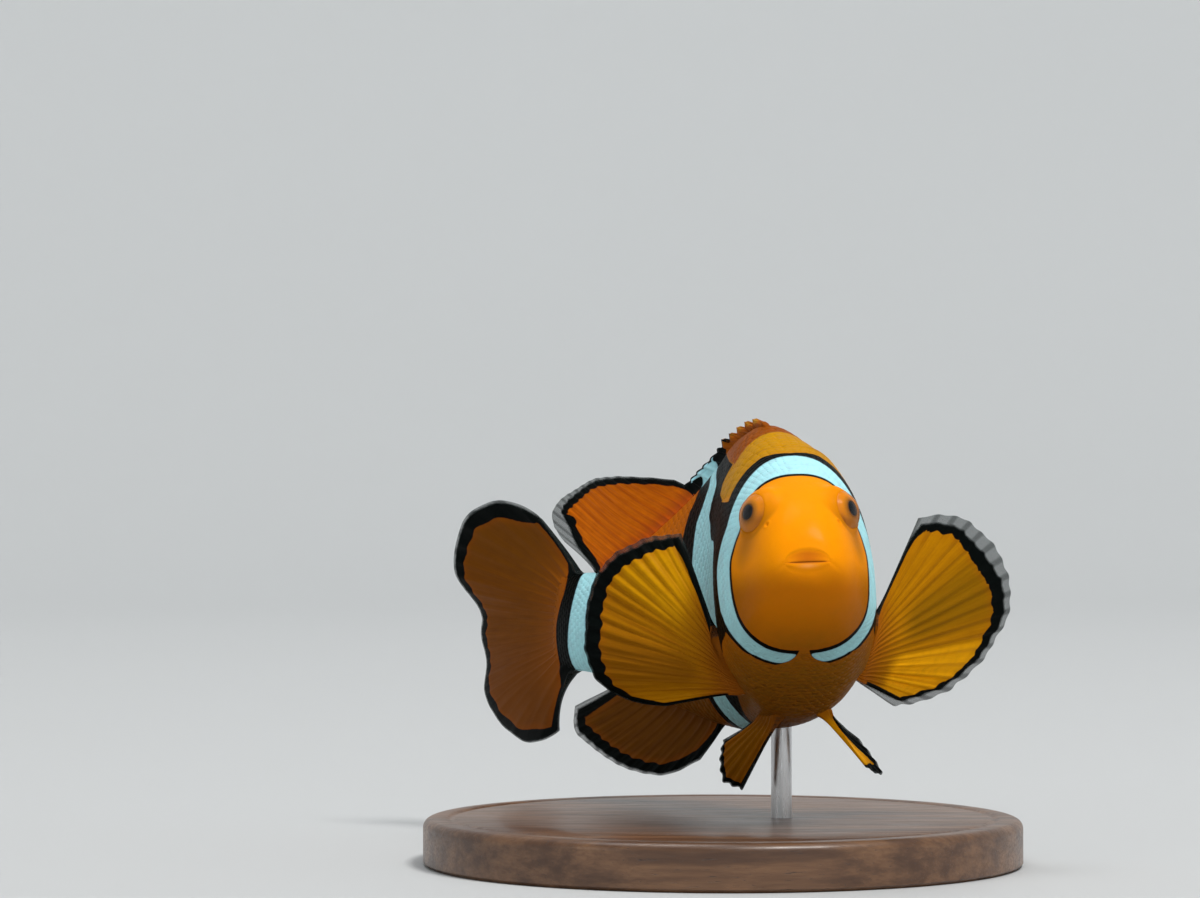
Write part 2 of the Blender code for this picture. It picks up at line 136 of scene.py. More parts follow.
def turn(yaw, pitch, roll):
    y, p, r = math.radians(yaw), -math.radians(pitch), -math.radians(roll)
    rz = np.array([[math.cos(y), -math.sin(y), 0], [math.sin(y), math.cos(y), 0], [0, 0, 1]])
    rx = np.array([[1, 0, 0], [0, math.cos(p), -math.sin(p)], [0, math.sin(p), math.cos(p)]])
    ry = np.array([[math.cos(r), 0, math.sin(r)], [0, 1, 0], [-math.sin(r), 0, math.cos(r)]])
    return rz @ rx @ ry


def spine():
    rot = np.array([turn(float(YAW(s)), float(PITCH(s)), float(ROLL(s))) for s in np.arange(-20, 1000) * STEP])
    back = rot[:, :, 1]
    pos = np.zeros((len(rot), 3))
    pos[1:] = np.cumsum((back[1:] + back[:-1]) / 2 * STEP, axis=0)
    return pos - pos[20], rot


SPINE_POS, SPINE_ROT = spine()


def place(s, y, z):
    """Straight-fish coordinates to the posed fish, in millimetres of the world."""
    s, y, z = np.broadcast_arrays(np.asarray(s, float), np.asarray(y, float), np.asarray(z, float))
    f = s / STEP + 20
    i = np.clip(np.floor(f).astype(int), 0, len(SPINE_POS) - 2)
    f = (f - i)[..., None]
    pos = SPINE_POS[i] * (1 - f) + SPINE_POS[i + 1] * f
    left = SPINE_ROT[i][..., :, 0] * (1 - f) + SPINE_ROT[i + 1][..., :, 0] * f
    up = SPINE_ROT[i][..., :, 2] * (1 - f) + SPINE_ROT[i + 1][..., :, 2] * f
    return MOUTH_AT + pos + left * y[..., None] + up * z[..., None]


def smooth_max(a, b, k):
    h = np.clip(0.5 + 0.5 * (a - b) / k, 0, 1)
    return b * (1 - h) + a * h + k * h * (1 - h)


def smooth_min(a, b, k):
    return -smooth_max(-a, -b, k)


def smoothstep(x):
    x = np.clip(x, 0, 1)
    return x * x * (3 - 2 * x)


def gauss(x, w):
    return np.exp(-(x / w) ** 2)


# ---------------------------------------------------------------- skin surface with its relief
def nostril_at():
    phi = np.radians(np.linspace(20, 80, 601))
    y, z = section(2.9, phi)
    k = int(np.argmin(np.abs(z - 3.9)))
    return np.array([2.9, y[k], z[k]])


NOSTRIL = nostril_at()
RELIEF = {"scale": 1.0}


def orbit(p):
    for sign in (1, -1):
        e = np.array([EYE_AT[0], sign * (EYE_AT[1] + EYE_OUT), EYE_AT[2]])
        axis = EYE_AXIS * np.array([1, sign, 1])
        d = p - e
        r = np.linalg.norm(d, axis=-1)
        near = smoothstep((4.3 - r) / 1.4)
        th = np.degrees(np.arccos(np.clip(np.sum(d * axis, -1) / np.maximum(r, 1e-6), -1, 1)))
        brow = smoothstep(0.35 + 0.9 * d[..., 2] / np.maximum(r, 1e-6))
        pad = 0.055 + smoothstep((th - EYE_RIM) / 26.0) * (0.08 + 0.24 * brow)
        out = r + (smooth_max(r, EYE_RADIUS + pad, 0.85) - r) * near
        w = smoothstep((EYE_RIM - th) / 8.0)
        rr = out * (1 - w) + 1.9 * w + 0.03 * gauss(th - EYE_RIM - 4.0, 5.0) * near - 0.02 * gauss(th - EYE_RIM - 17.0, 6.0) * near
        p = np.where((near > 0)[..., None], e + d / r[..., None] * rr[..., None], p)
    return p


def skin_point(s, phi, lift=0.0):
    """Straight-fish point of the skin at s and phi, raised by lift along the normal."""
    s, phi = np.broadcast_arrays(np.asarray(s, float), np.asarray(phi, float))
    e = 2e-3
    y, z = section(s, phi)
    p = np.stack([s, y, z], -1)
    y1, z1 = section(s + e, phi)
    y2, z2 = section(s, phi + e)
    n = np.cross(np.stack([s + e, y1, z1], -1) - p, np.stack([s, y2, z2], -1) - p)
    n /= np.maximum(np.linalg.norm(n, axis=-1), 1e-12)[..., None]
    c = np.stack([s + 1.5, 0 * s, MID(s)], -1)
    n *= np.sign(np.sum(n * (p - c), -1) + 1e-9)[..., None]
    p = orbit(p - n * SKIN_DEPTH * np.clip(s / 1.0, 0, 1)[..., None])
    d = np.zeros_like(s) + lift
    ss, yy, zz = p[..., 0], p[..., 1], p[..., 2]
    # lips: two rolls that taper to the corners of the mouth
    q = np.sqrt(np.clip(1 - (yy / 2.15) ** 2, 0.03, 1))
    zu = zz / q
    front = np.clip(1 - ss / 1.5, 0, 1)
    lips = (0.050 * gauss(zu - 1.25, 0.34) - 0.060 * gauss(zu - 0.55, 0.36) + 0.060 * gauss(zu + 0.40, 0.28)
            - 0.040 * gauss(zu + 0.95, 0.26) - 0.060 * gauss(zu, 0.13))
    wide = np.exp(-(np.abs(yy) / 2.25) ** 8)
    d = d + 0.8 * lips * front * wide * (0.35 + 0.65 * q)
    # fold running back and down from each corner of the mouth
    fold = gauss((zz + 0.75 * (np.abs(yy) - 2.0)) , 0.22) * smoothstep((np.abs(yy) - 1.7) / 0.4) * smoothstep((3.4 - np.abs(yy)) / 1.0)
    d = d - 0.06 * fold * np.clip(1 - ss / 2.4, 0, 1)
    # furrow from the front of the eye down to the cheek
    ay = np.abs(yy)
    line = ss - (4.9 + 0.22 * (3.4 - zz))
    d = d - 0.03 * gauss(line, 1.5) * smoothstep((zz - 0.2) / 1.8) * smoothstep((5.6 - zz) / 1.4) * smoothstep((ay - 2.4) / 1.6)
    # nostrils
    for sign in (1, -1):
        r = np.linalg.norm(p - NOSTRIL * np.array([1, sign, 1]), axis=-1)
        d = d - 0.22 * gauss(r, 0.17) + 0.06 * gauss(r - 0.34, 0.12)
    # gill cover: its free edge stands over a groove, and the edge of the cheek plate crosses it
    side = smoothstep((np.abs(np.cos(phi)) - 0.05) / 0.3)
    x = ss - gill_edge(phi)
    d = d + side * np.where(x <= 0, 0.17 * np.exp(np.minimum(x, 0) / 1.1), -0.16 * np.exp(-np.maximum(x, 0) / 0.45))
    x2 = ss - (gill_edge(phi) - 5.2)
    cheek = smoothstep((np.abs(np.cos(phi)) - 0.35) / 0.3) * smoothstep((2.5 - zz) / 2.0)
    d = d + cheek * (0.05 * gauss(x2 + 0.5, 0.5) - 0.09 * gauss(x2, 0.16))
    # lateral line, a low ridge of tubes that follows the back
    lat = zz - (0.60 * TOP(ss) - 0.2)
    tubes = 0.5 + 0.5 * np.cos(ss * 2 * np.pi / 1.1)
    d = d + 0.035 * gauss(lat, 0.16) * tubes * smoothstep((ss - 18.5) / 1.5) * smoothstep((46 - ss) / 3.0)
    return p + n * d[..., None]


def arc_table():
    """phi against arc length from the widest point, for the left half of each section."""
    table = []
    fine = np.radians(np.linspace(-90, 90, 721))
    for s in np.arange(0, 63.01, 0.25):
        y, z = section(s, fine)
        arc = np.concatenate([[0], np.cumsum(np.hypot(np.diff(y), np.diff(z)))])
        table.append(arc - arc[360])
    return fine, np.array(table)


ARC_PHI, ARC = arc_table()


def phi_of(s, q):
    """phi on the left half at arc length q above the widest point; runs on over the midline."""
    row = np.clip(np.round(s / 0.25).astype(int), 0, len(ARC) - 1)
    out = np.empty_like(q)
    for k in np.unique(row):
        m = row == k
        arc = ARC[k]
        val = np.interp(q[m], arc, ARC_PHI)
        radius = (arc[-1] - arc[-8]) / (ARC_PHI[-1] - ARC_PHI[-8])
        over = np.maximum(q[m] - arc[-1], 0) - np.maximum(arc[0] - q[m], 0)
        out[m] = val + over / max(radius, 0.5)
    return out


# ---------------------------------------------------------------- markings: signed distances in mm, positive inside
HEAD_F = Curve([(-9.5, 8.4), (-7.6, 8.5), (-5.8, 8.3), (-3.7, 8.5), (-1.4, 9.3), (1.1, 9.7), (2.8, 8.9), (4.5, 8.0),
                (6.4, 8.4), (7.9, 8.8), (8.8, 8.4), (9.4, 7.8)])
HEAD_R = Curve([(-9.5, 10.2), (-7.9, 10.3), (-6.4, 10.6), (-4.0, 11.8), (-1.3, 13.5), (1.1, 14.0), (3.0, 13.2),
                (5.1, 11.9), (7.3, 11.9), (9.6, 12.1), (11.1, 12.5), (11.6, 12.7)])
HEAD_LINE_F = Curve([(-9, 0.60), (-5, 0.62), (0, 0.56), (5, 0.34), (7, 0.45), (9, 0.62)])
HEAD_LINE_R = Curve([(-9, 0.34), (-6.4, 0.45), (-4, 0.9), (2, 2.0), (6, 3.0)])        # against z, on the flank
HEAD_LINE_TOP = Curve([(0, 0.55), (0.9, 0.72), (1.9, 0.98), (2.9, 1.25), (3.7, 1.5), (4.3, 1.8), (5, 2.1), (5.6, 2.4)])   # against y
THROAT_GAP = Curve([(7.9, 0.50), (9.0, 0.80), (9.7, 1.25), (10.2, 1.9), (11, 3.2)])   # half the gap in the band under the throat
MID_F = Curve([(-14, 30.2), (-12, 30.4), (-9, 31.2), (-6.5, 29.0), (-4, 25.6), (-1.5, 22.2), (1, 21.0), (3.9, 21.2),
               (4.9, 21.9), (5.4, 24.4), (7, 25.9), (7.9, 26.9), (9.3, 26.4), (10.5, 25.9), (12, 28.2), (13.2, 30.8),
               (13.8, 31.7), (15.5, 32.3)])
MID_BLACK_F = Curve([(-14, 1.0), (-8, 1.0), (0, 0.8), (14, 0.8)])
MID_BLACK_R = Curve([(-14, 34.8), (-9, 35.8), (-4, 35.5), (0, 35.5), (5, 35.8), (6.8, 35.65), (8, 35.4), (9.1, 35.1), (9.8, 34.6),
                     (10.4, 34.4), (11.2, 34.9), (12, 36.3), (12.9, 37.8), (15, 38.5)])
MID_R = Curve([(-14, 33.6), (-12.7, 33.9), (-9.3, 34.7), (-4, 33.8), (5.3, 32.5), (7.7, 32.0), (9.6, 30.6), (11, 30.2),
               (12, 31.4), (12.9, 33.2), (13.4, 34.0), (15.5, 34.5)])
TAIL_F = Curve([(-7, 54.4), (-3, 53.9), (0, 54.0), (3, 53.8), (7, 54.6)])
TAIL_R = Curve([(-7, 57.6), (-3, 57.6), (-1.3, 57.35), (1, 56.95), (3.2, 56.75), (5, 57.0), (7, 57.3)])
WEDGE = Curve([(6.9, 12.0), (7.5, 15.5), (8.2, 18.2), (8.9, 20.3), (9.5, 21.4), (10.2, 21.4), (11.3, 20.5), (12.0, 19.8),
               (13.0, 19.4), (14.3, 19.9), (15.1, 20.8), (16, 21.8)])
SADDLE = Curve([(19.0, 11.4), (20, 11.9), (21, 12.2), (23.8, 12.9), (26.8, 13.7), (28.5, 14.3), (30.5, 14.5)])   # foot of the orange under the spiny fin
FLANK_LOW = Curve([(11, -4.6), (13, -5.3), (16, -5.9), (20, -7.2), (25, -9.2), (29, -11.5), (31, -14)])
SPINY_BLACK = 31.6              # the spiny fin is orange in front of this and black behind


def side_of(curve, z, s):
    """Distance of s behind the edge curve s = curve(z), across the edge."""
    e = 0.05
    slope = (curve(z + e) - curve(z - e)) / (2 * e)
    return (s - curve(z)) / np.sqrt(1 + slope**2)


def marks(s, y, z, tail_bar=True):
    ay = np.abs(y)
    hf, hr = side_of(HEAD_F, z, s), side_of(HEAD_R, z, s)
    mf, mr = side_of(MID_F, z, s), side_of(MID_R, z, s)
    tf, tr = side_of(TAIL_F, z, s), side_of(TAIL_R, z, s)
    gap = (ay - THROAT_GAP(s)) * 0.8 + np.where(z > 0, 99.0, 0.0)
    head = smooth_min(np.minimum(hf, -hr), gap, 0.35)
    mid = np.minimum(mf, -mr)
    tail = np.minimum(tf, -tr)
    lf = HEAD_LINE_F(z)
    lr = np.where(z > 7.0, HEAD_LINE_TOP(ay), HEAD_LINE_R(z))
    b_head = np.minimum(np.minimum(hf + lf, lr - hr), gap + 0.05)
    wedge = smooth_min(-side_of(WEDGE, z, s), z - 6.7, 1.8)
    saddle = np.minimum(np.minimum((z - SADDLE(s)) * 0.95, s - 19.2), SPINY_BLACK - s)
    low = (z - FLANK_LOW(s)) * 0.94
    back = (MID_BLACK_R(z) - s) * 0.85
    b_flank = np.minimum(np.minimum(np.minimum(hr, back), low), -np.maximum(wedge, saddle))
    b_mid = np.minimum(mf + np.where(z < -6, MID_BLACK_F(z), 0.6), back)
    black = np.maximum(b_head, np.maximum(b_flank, b_mid))
    white = np.maximum(head, mid)
    if tail_bar:
        black = np.maximum(black, np.minimum(tf + 0.45, 2.5 + 0.25 * np.cos(z * 0.9) - tr))
        white = np.maximum(white, tail)
    return white, black, saddle


# ---------------------------------------------------------------- node helpers
class Mat:
    def __init__(self, name):
        self.m = bpy.data.materials.new(name)
        self.m.use_nodes = True
        self.nt = self.m.node_tree
        self.b = self.nt.nodes["Principled BSDF"]

    def put(self, socket, v):
        if hasattr(v, "is_output"):
            self.nt.links.new(v, socket)
        elif isinstance(v, tuple) and len(v) == 3 and socket.type == "RGBA":
            socket.default_value = (*v, 1)
        else:
            socket.default_value = v

    def attr(self, name, vector=False):
        n = self.nt.nodes.new("ShaderNodeAttribute")
        n.attribute_name = name
        return n.outputs["Vector" if vector else "Fac"]

    def math(self, op, a, b=0.0, c=None, clamp=False):
        n = self.nt.nodes.new("ShaderNodeMath")
        n.operation = op
        n.use_clamp = clamp
        self.put(n.inputs[0], a)
        self.put(n.inputs[1], b)
        if c is not None:
            self.put(n.inputs[2], c)
        return n.outputs[0]

    def vec(self, op, a, b=(0, 0, 0), scale=None):
        n = self.nt.nodes.new("ShaderNodeVectorMath")
        n.operation = op
        self.put(n.inputs[0], a)
        self.put(n.inputs[1], b)
        if scale is not None:
            self.put(n.inputs["Scale"], scale)
        return n.outputs[0]

    def xyz(self, v):
        n = self.nt.nodes.new("ShaderNodeSeparateXYZ")
        self.put(n.inputs[0], v)
        return n.outputs[0], n.outputs[1], n.outputs[2]

    def step(self, x, lo, hi, a=0.0, b=1.0):
        n = self.nt.nodes.new("ShaderNodeMapRange")
        n.interpolation_type = "SMOOTHSTEP"
        self.put(n.inputs["Value"], x)
        self.put(n.inputs["From Min"], lo)
        self.put(n.inputs["From Max"], hi)
        self.put(n.inputs["To Min"], a)
        self.put(n.inputs["To Max"], b)
        return n.outputs[0]

    def mix(self, f, a, b, mode="MIX"):
        n = self.nt.nodes.new("ShaderNodeMix")
        n.data_type = "RGBA"
        n.blend_type = mode
        self.put(n.inputs[0], f)
        self.put(n.inputs[6], a)
        self.put(n.inputs[7], b)
        return n.outputs[2]

    def noise(self, scale, detail=3.0, rough=0.5, at=None, distortion=0.0):
        n = self.nt.nodes.new("ShaderNodeTexNoise")
        self.put(n.inputs["Scale"], scale)
        self.put(n.inputs["Detail"], detail)
        self.put(n.inputs["Roughness"], rough)
        self.put(n.inputs["Distortion"], distortion)
        if at is not None:
            self.put(n.inputs["Vector"], at)
        return n.outputs[0]

    def voronoi(self, scale, at=None, feature="F1"):
        n = self.nt.nodes.new("ShaderNodeTexVoronoi")
        n.feature = feature
        self.put(n.inputs["Scale"], scale)
        if at is not None:
            self.put(n.inputs["Vector"], at)
        return n.outputs["Distance"]

    def bump(self, height, distance, strength=1.0):
        n = self.nt.nodes.new("ShaderNodeBump")
        self.put(n.inputs["Height"], height)
        self.put(n.inputs["Distance"], distance)
        self.put(n.inputs["Strength"], strength)
        return n.outputs[0]

    def set(self, **kw):
        for k, v in kw.items():
            self.put(self.b.inputs[k.replace("_", " ")], v)


# the first orange is the fish's own; the next two are painted shade, darker and browner towards the throat and belly
ORANGE_TOP = (0.95, 0.300, 0.0015)
ORANGE_SHADED = (0.53, 0.150, 0.0015)
ORANGE_DEEP_SHADE = (0.205, 0.082, 0.006)
BLACK = (0.0012, 0.0020, 0.0018)
WHITE = (0.46, 0.87, 0.94)


def painted(m, orange, rest, wobble=0.05):
    """Lays black, then white, over the orange by the signed distances on the mesh."""
    n1 = m.math("SUBTRACT", m.noise(1.7, 3.0, 0.6, rest), 0.5)
    n2 = m.math("SUBTRACT", m.noise(9.0, 2.0, 0.6, rest), 0.5)
    edge = m.math("ADD", m.math("MULTIPLY", n1, wobble * 2.2), m.math("MULTIPLY", n2, wobble))
    kb = m.step(m.math("ADD", m.attr("black"), edge), -0.045, 0.045)
    kw = m.step(m.math("ADD", m.attr("white"), m.math("MULTIPLY", edge, 0.6)), -0.04, 0.05)
    soft = m.step(m.attr("black"), -0.9, 0.2, 0.0, 0.22)      # orange deepens just before the black
    orange = m.mix(soft, orange, (0.42, 0.085, 0.004))
    black = m.mix(m.noise(2.3, 3.0, 0.6, rest), BLACK, (0.0026, 0.0042, 0.0038))
    white = m.mix(m.step(m.noise(0.9, 4.0, 0.6, rest), 0.35, 0.7), WHITE, (0.42, 0.75, 0.82))
    white = m.mix(m.step(m.xyz(rest)[2], 0.0, -8.0, 0.0, 0.42), white, (0.20, 0.40, 0.40))      # painted shade: the bars darken towards the belly
    white = m.mix(m.step(m.attr("white"), 0.30, 0.0, 0.0, 0.55), white, (0.26, 0.48, 0.58))
    return m.mix(kw, m.mix(kb, orange, black), white), kb, kw


def skin_material():
    m = Mat("fish_skin")
    rest = m.attr("rest", True)
    s, y, z = m.xyz(rest)
    # painted shade: the orange darkens and browns from the top down to the throat and belly, along a wavy line
    wavy = m.math("ADD", z, m.math("MULTIPLY", m.noise(0.35, 3.0, 0.5, rest), 1.0))
    orange = m.mix(m.step(wavy, -9.0, -2.2), ORANGE_DEEP_SHADE, ORANGE_SHADED)
    orange = m.mix(m.step(wavy, -2.2, 1.2), orange, ORANGE_TOP)
    # painted shade on the nape: darker and yellower
    nape_shade = m.math("MULTIPLY", m.step(s, 11.0, 14.0), m.step(z, 6.0, 9.0))
    orange = m.mix(m.math("MULTIPLY", nape_shade, 0.9), orange, (0.48, 0.245, 0.003))
    # painted shade on the flank from behind the pectorals back, deepest towards the belly
    rear = m.mix(m.step(z, -9.0, 2.0), (0.130, 0.050, 0.006), (0.52, 0.105, 0.002))
    orange = m.mix(m.math("MULTIPLY", m.step(s, 20.0, 33.0), 0.85), orange, rear)
    # painted shade on the tail stalk
    orange = m.mix(m.step(s, 52.0, 57.0), orange, (0.26, 0.072, 0.003))
    orange = m.mix(m.step(m.attr("saddle"), -0.15, 0.25), orange, (0.27, 0.065, 0.004))
    mottling = m.step(m.noise(1.1, 5.0, 0.62, rest, 0.6), 0.30, 0.72)
    orange = m.mix(m.math("MULTIPLY", mottling, 0.16), orange, m.mix(0.5, orange, (0.80, 0.15, 0.002)))
    freckle = m.step(m.noise(7.0, 3.0, 0.55, rest), 0.55, 0.75)
    orange = m.mix(m.math("MULTIPLY", freckle, 0.10), orange, (0.45, 0.10, 0.003))
    # painted shade in the creases, round the eyes and low on the sides of the face
    orange = m.mix(m.attr("crease_shade"), orange, (0.215, 0.072, 0.003))
    # painted shade in the upper lip and along the slit of the mouth
    orange = m.mix(m.attr("lip_shade"), orange, (0.50, 0.085, 0.008))
    # painted highlight, pinkish, on the middle of the lower lip
    orange = m.mix(m.attr("lip_highlight"), orange, (0.93, 0.40, 0.15))
    colour, kb, kw = painted(m, orange, rest)
    # painted shade inside the mouth
    colour = m.mix(m.attr("mouth"), colour, (0.11, 0.022, 0.005))
    fine = m.noise(14.0, 4.0, 0.6, rest)
    pores = m.voronoi(5.5, rest)
    height = m.math("ADD", m.math("MULTIPLY", fine, 0.5), m.math("MULTIPLY", pores, 0.5))
    m.set(Base_Color=colour, Roughness=m.step(m.noise(2.6, 4.0, 0.6, rest), 0.25, 0.8, 0.38, 0.54),
          Normal=m.bump(height, 0.00003, 0.5), Coat_Weight=0.035, Coat_Roughness=0.18, Specular_IOR_Level=0.012)
    return m.m


def fin_material(name, light, dark, streak=0.5, root=(0.50, 0.11, 0.004), reach=2.6, bright=None, deep=None):
    """Fin membrane: streaked along its rays, black towards the margin, clear at the very rim."""
    m = Mat(name)
    rest = m.attr("rest", True)
    local = m.attr("local", True)
    ray = m.attr("ray")
    lx, ly, lz = m.xyz(local)
    n = m.nt.nodes.new("ShaderNodeCombineXYZ")
    m.put(n.inputs[0], m.math("MULTIPLY", ray, 6.0))
    m.put(n.inputs[1], m.math("MULTIPLY", ly, 0.16))
    fibre = m.noise(1.0, 4.0, 0.62, n.outputs[0])
    wide = m.nt.nodes.new("ShaderNodeCombineXYZ")
    m.put(wide.inputs[0], m.math("MULTIPLY", ray, 0.9))
    m.put(wide.inputs[1], m.math("MULTIPLY", ly, 0.05))
    broad = m.noise(1.0, 2.0, 0.5, wide.outputs[0])
    crest = m.math("COSINE", m.math("MULTIPLY", ray, 2 * math.pi))
    lines = m.math("MULTIPLY", m.step(crest, -0.9, 0.9), m.step(broad, 0.35, 0.62, 0.25 * streak, streak))
    mixf = m.math("ADD", m.math("MULTIPLY", lines, 0.60), m.math("MULTIPLY", m.step(fibre, 0.38, 0.72), 0.45), clamp=True)
    orange = m.mix(mixf, light, dark)
    tone = m.attr("tone")
    # the tone attribute lays a brighter and a deeper colour; on the pectorals and the tail these are painted light and
    # shade
    if bright is not None:
        orange = m.mix(m.math("MULTIPLY", m.step(tone, 0.0, 1.0), m.math("SUBTRACT", 1.0, m.math("MULTIPLY", lines, 0.6))), orange, bright)
    if deep is not None:
        orange = m.mix(m.math("MULTIPLY", m.step(tone, 0.0, -1.0), 0.75), orange, deep)
    orange = m.mix(m.math("MULTIPLY", m.step(m.noise(0.7, 4.0, 0.6, local), 0.42, 0.75), 0.22), orange, dark)
    orange = m.mix(m.step(m.attr("out"), reach, 0.0, 0.0, 0.85), orange, root)
    colour, kb, kw = painted(m, orange, rest, 0.04)
    ruffle = m.math("MULTIPLY", m.math("SUBTRACT", m.noise(3.0, 3.0, 0.6, local), 0.5), 0.25)
    rim = m.step(m.math("ADD", m.attr("rim"), ruffle), -0.12, 0.22)
    colour = m.mix(rim, colour, m.mix(m.step(crest, 0.1, 0.9), (0.050, 0.064, 0.062), (0.028, 0.037, 0.036)))
    alpha = m.math("SUBTRACT", 1.0, m.math("MULTIPLY", rim, m.step(crest, 0.0, 1.0, 0.58, 0.42)))
    bumps = m.math("ADD", m.math("MULTIPLY", fibre, 0.7), m.math("MULTIPLY", m.noise(9.0, 3.0, 0.6, local), 0.3))
    m.set(Base_Color=colour, Roughness=m.step(fibre, 0.2, 0.8, 0.38, 0.56), Normal=m.bump(bumps, 0.00005, 0.7), Alpha=alpha,
          Coat_Weight=0.02, Coat_Roughness=0.3, Specular_IOR_Level=0.02)
    return m.m


# ---------------------------------------------------------------- mesh helpers
def mesh_object(name, verts, faces, attrs, mat, smooth=True):
    me = bpy.data.meshes.new(name)
    me.from_pydata((np.asarray(verts).reshape(-1, 3) * MM).tolist(), [], [tuple(int(i) for i in f) for f in faces])
    for key, val in attrs.items():
        val = np.ascontiguousarray(val, dtype=np.float32)
        if val.ndim > 1 and val.shape[-1] == 3:
            me.attributes.new(key, "FLOAT_VECTOR", "POINT").data.foreach_set("vector", val.reshape(-1))
        else:
            me.attributes.new(key, "FLOAT", "POINT").data.foreach_set("value", val.reshape(-1))
    me.materials.append(mat)
    if smooth:
        me.shade_smooth()
    me.update()
    ob = bpy.data.objects.new(name, me)
    bpy.context.scene.collection.objects.link(ob)
    return ob


def volume(verts, faces):
    v = verts.reshape(-1, 3)
    f = np.asarray(faces)
    tot = np.einsum("ij,ij->i", v[f[:, 0]], np.cross(v[f[:, 1]], v[f[:, 2]])).sum()
    if f.shape[1] == 4:
        tot += np.einsum("ij,ij->i", v[f[:, 0]], np.cross(v[f[:, 2]], v[f[:, 3]])).sum()
    return tot


def ring_faces(rings, count):
    k, j = np.meshgrid(np.arange(rings - 1), np.arange(count), indexing="ij")
    a = k * count + j
    b = k * count + (j + 1) % count
    return np.stack([a, b, b + count, a + count], -1).reshape(-1, 4)


# ---------------------------------------------------------------- the skin
AROUND = 344


def even_phi(s, count):
    out = []
    for q in range(4):
        fine = np.linspace(q * np.pi / 2, (q + 1) * np.pi / 2, 121)
        y, z = section(s, fine)
        arc = np.concatenate([[0], np.cumsum(np.hypot(np.diff(y), np.diff(z)))])
        out.append(np.interp(np.linspace(0, 1, count // 4, endpoint=False) * arc[-1], arc, fine))
    return np.concatenate(out)


def build_skin(mat):
    n1, gap = ((112, 0.345))
    rows = np.concatenate([12 * np.linspace(0, 1, n1) ** 2, np.arange(12.2, 15.8, 0.2),
                           [15.86, 15.97, 16.0, 16.04, 16.15, 16.3], np.arange(16.5, 60.2, gap), np.arange(60.3, 63.4, 0.25)])
    phis = np.array([even_phi(s, AROUND) for s in rows])
    warp = np.cos(np.clip((rows - 16) / 7.0, -1, 1) * np.pi / 2) ** 2
    s = rows[:, None] + warp[:, None] * (gill_edge(phis) - 16.0)
    p = skin_point(s, phis)
    # the stalk thins to a wedge inside the root of the tail fin
    thin = 1 - 0.80 * smoothstep((p[..., 0] - 60.0) / 3.2)
    p[..., 1] *= thin
    # the lips part by a hair, and the mouth runs a little way in
    up = np.sin(phis) >= 0
    part = 0.012 * np.clip(1 - (p[..., 1] / MOUTH_HALF) ** 2, 0, 1) * gauss(p[..., 2], 0.35) * (p[..., 0] < 0.4)
    p[..., 2] += np.where(up, part, -part)
    ring = p[0].copy()
    inner = []
    for depth, shrink, close in ((0.14, 0.98, 1.0), (0.34, 0.93, 1.2), (0.62, 0.84, 1.0), (0.95, 0.70, 0.5), (1.1, 0.6, 0.4)):
        r = ring.copy()
        r[:, 0] += depth
        r[:, 1] *= shrink
        r[:, 2] *= close
        inner.append(r)
    pts = np.concatenate([np.array(inner[::-1]), p])
    k = len(inner)
    # painted shade inside the mouth, fading out over the first rows of the lips
    mouth = np.zeros(pts.shape[:2])
    mouth[:k] = 1.0
    mouth[k] = 0.6
    mouth[k + 1] = 0.2
    faces = ring_faces(len(pts), AROUND)
    half = AROUND // 2
    j = np.arange(half)
    close = np.stack([j, (AROUND - j) % AROUND, AROUND - j - 1, j + 1], -1)
    tip = len(pts) * AROUND
    last = (len(pts) - 1) * AROUND
    fan = np.array([(last + i, last + (i + 1) % AROUND, tip) for i in range(AROUND)])
    world = np.concatenate([place(pts[..., 0], pts[..., 1], pts[..., 2]).reshape(-1, 3), place(63.6, 0.0, 0.0)[None]])
    rest = np.concatenate([pts.reshape(-1, 3), [[63.6, 0, 0]]])
    faces = [tuple(f) for f in faces] + [tuple(dict.fromkeys(f)) for f in close.tolist()] + [tuple(f) for f in fan]
    quads = ring_faces(len(pts), AROUND)
    if volume(world, quads) < 0:
        faces = [f[::-1] for f in faces]
    attrs = skin_attrs(rest)
    attrs["mouth"] = np.append(mouth.reshape(-1), 0)
    ob = mesh_object("skin", world, faces, attrs, mat)
    return ob


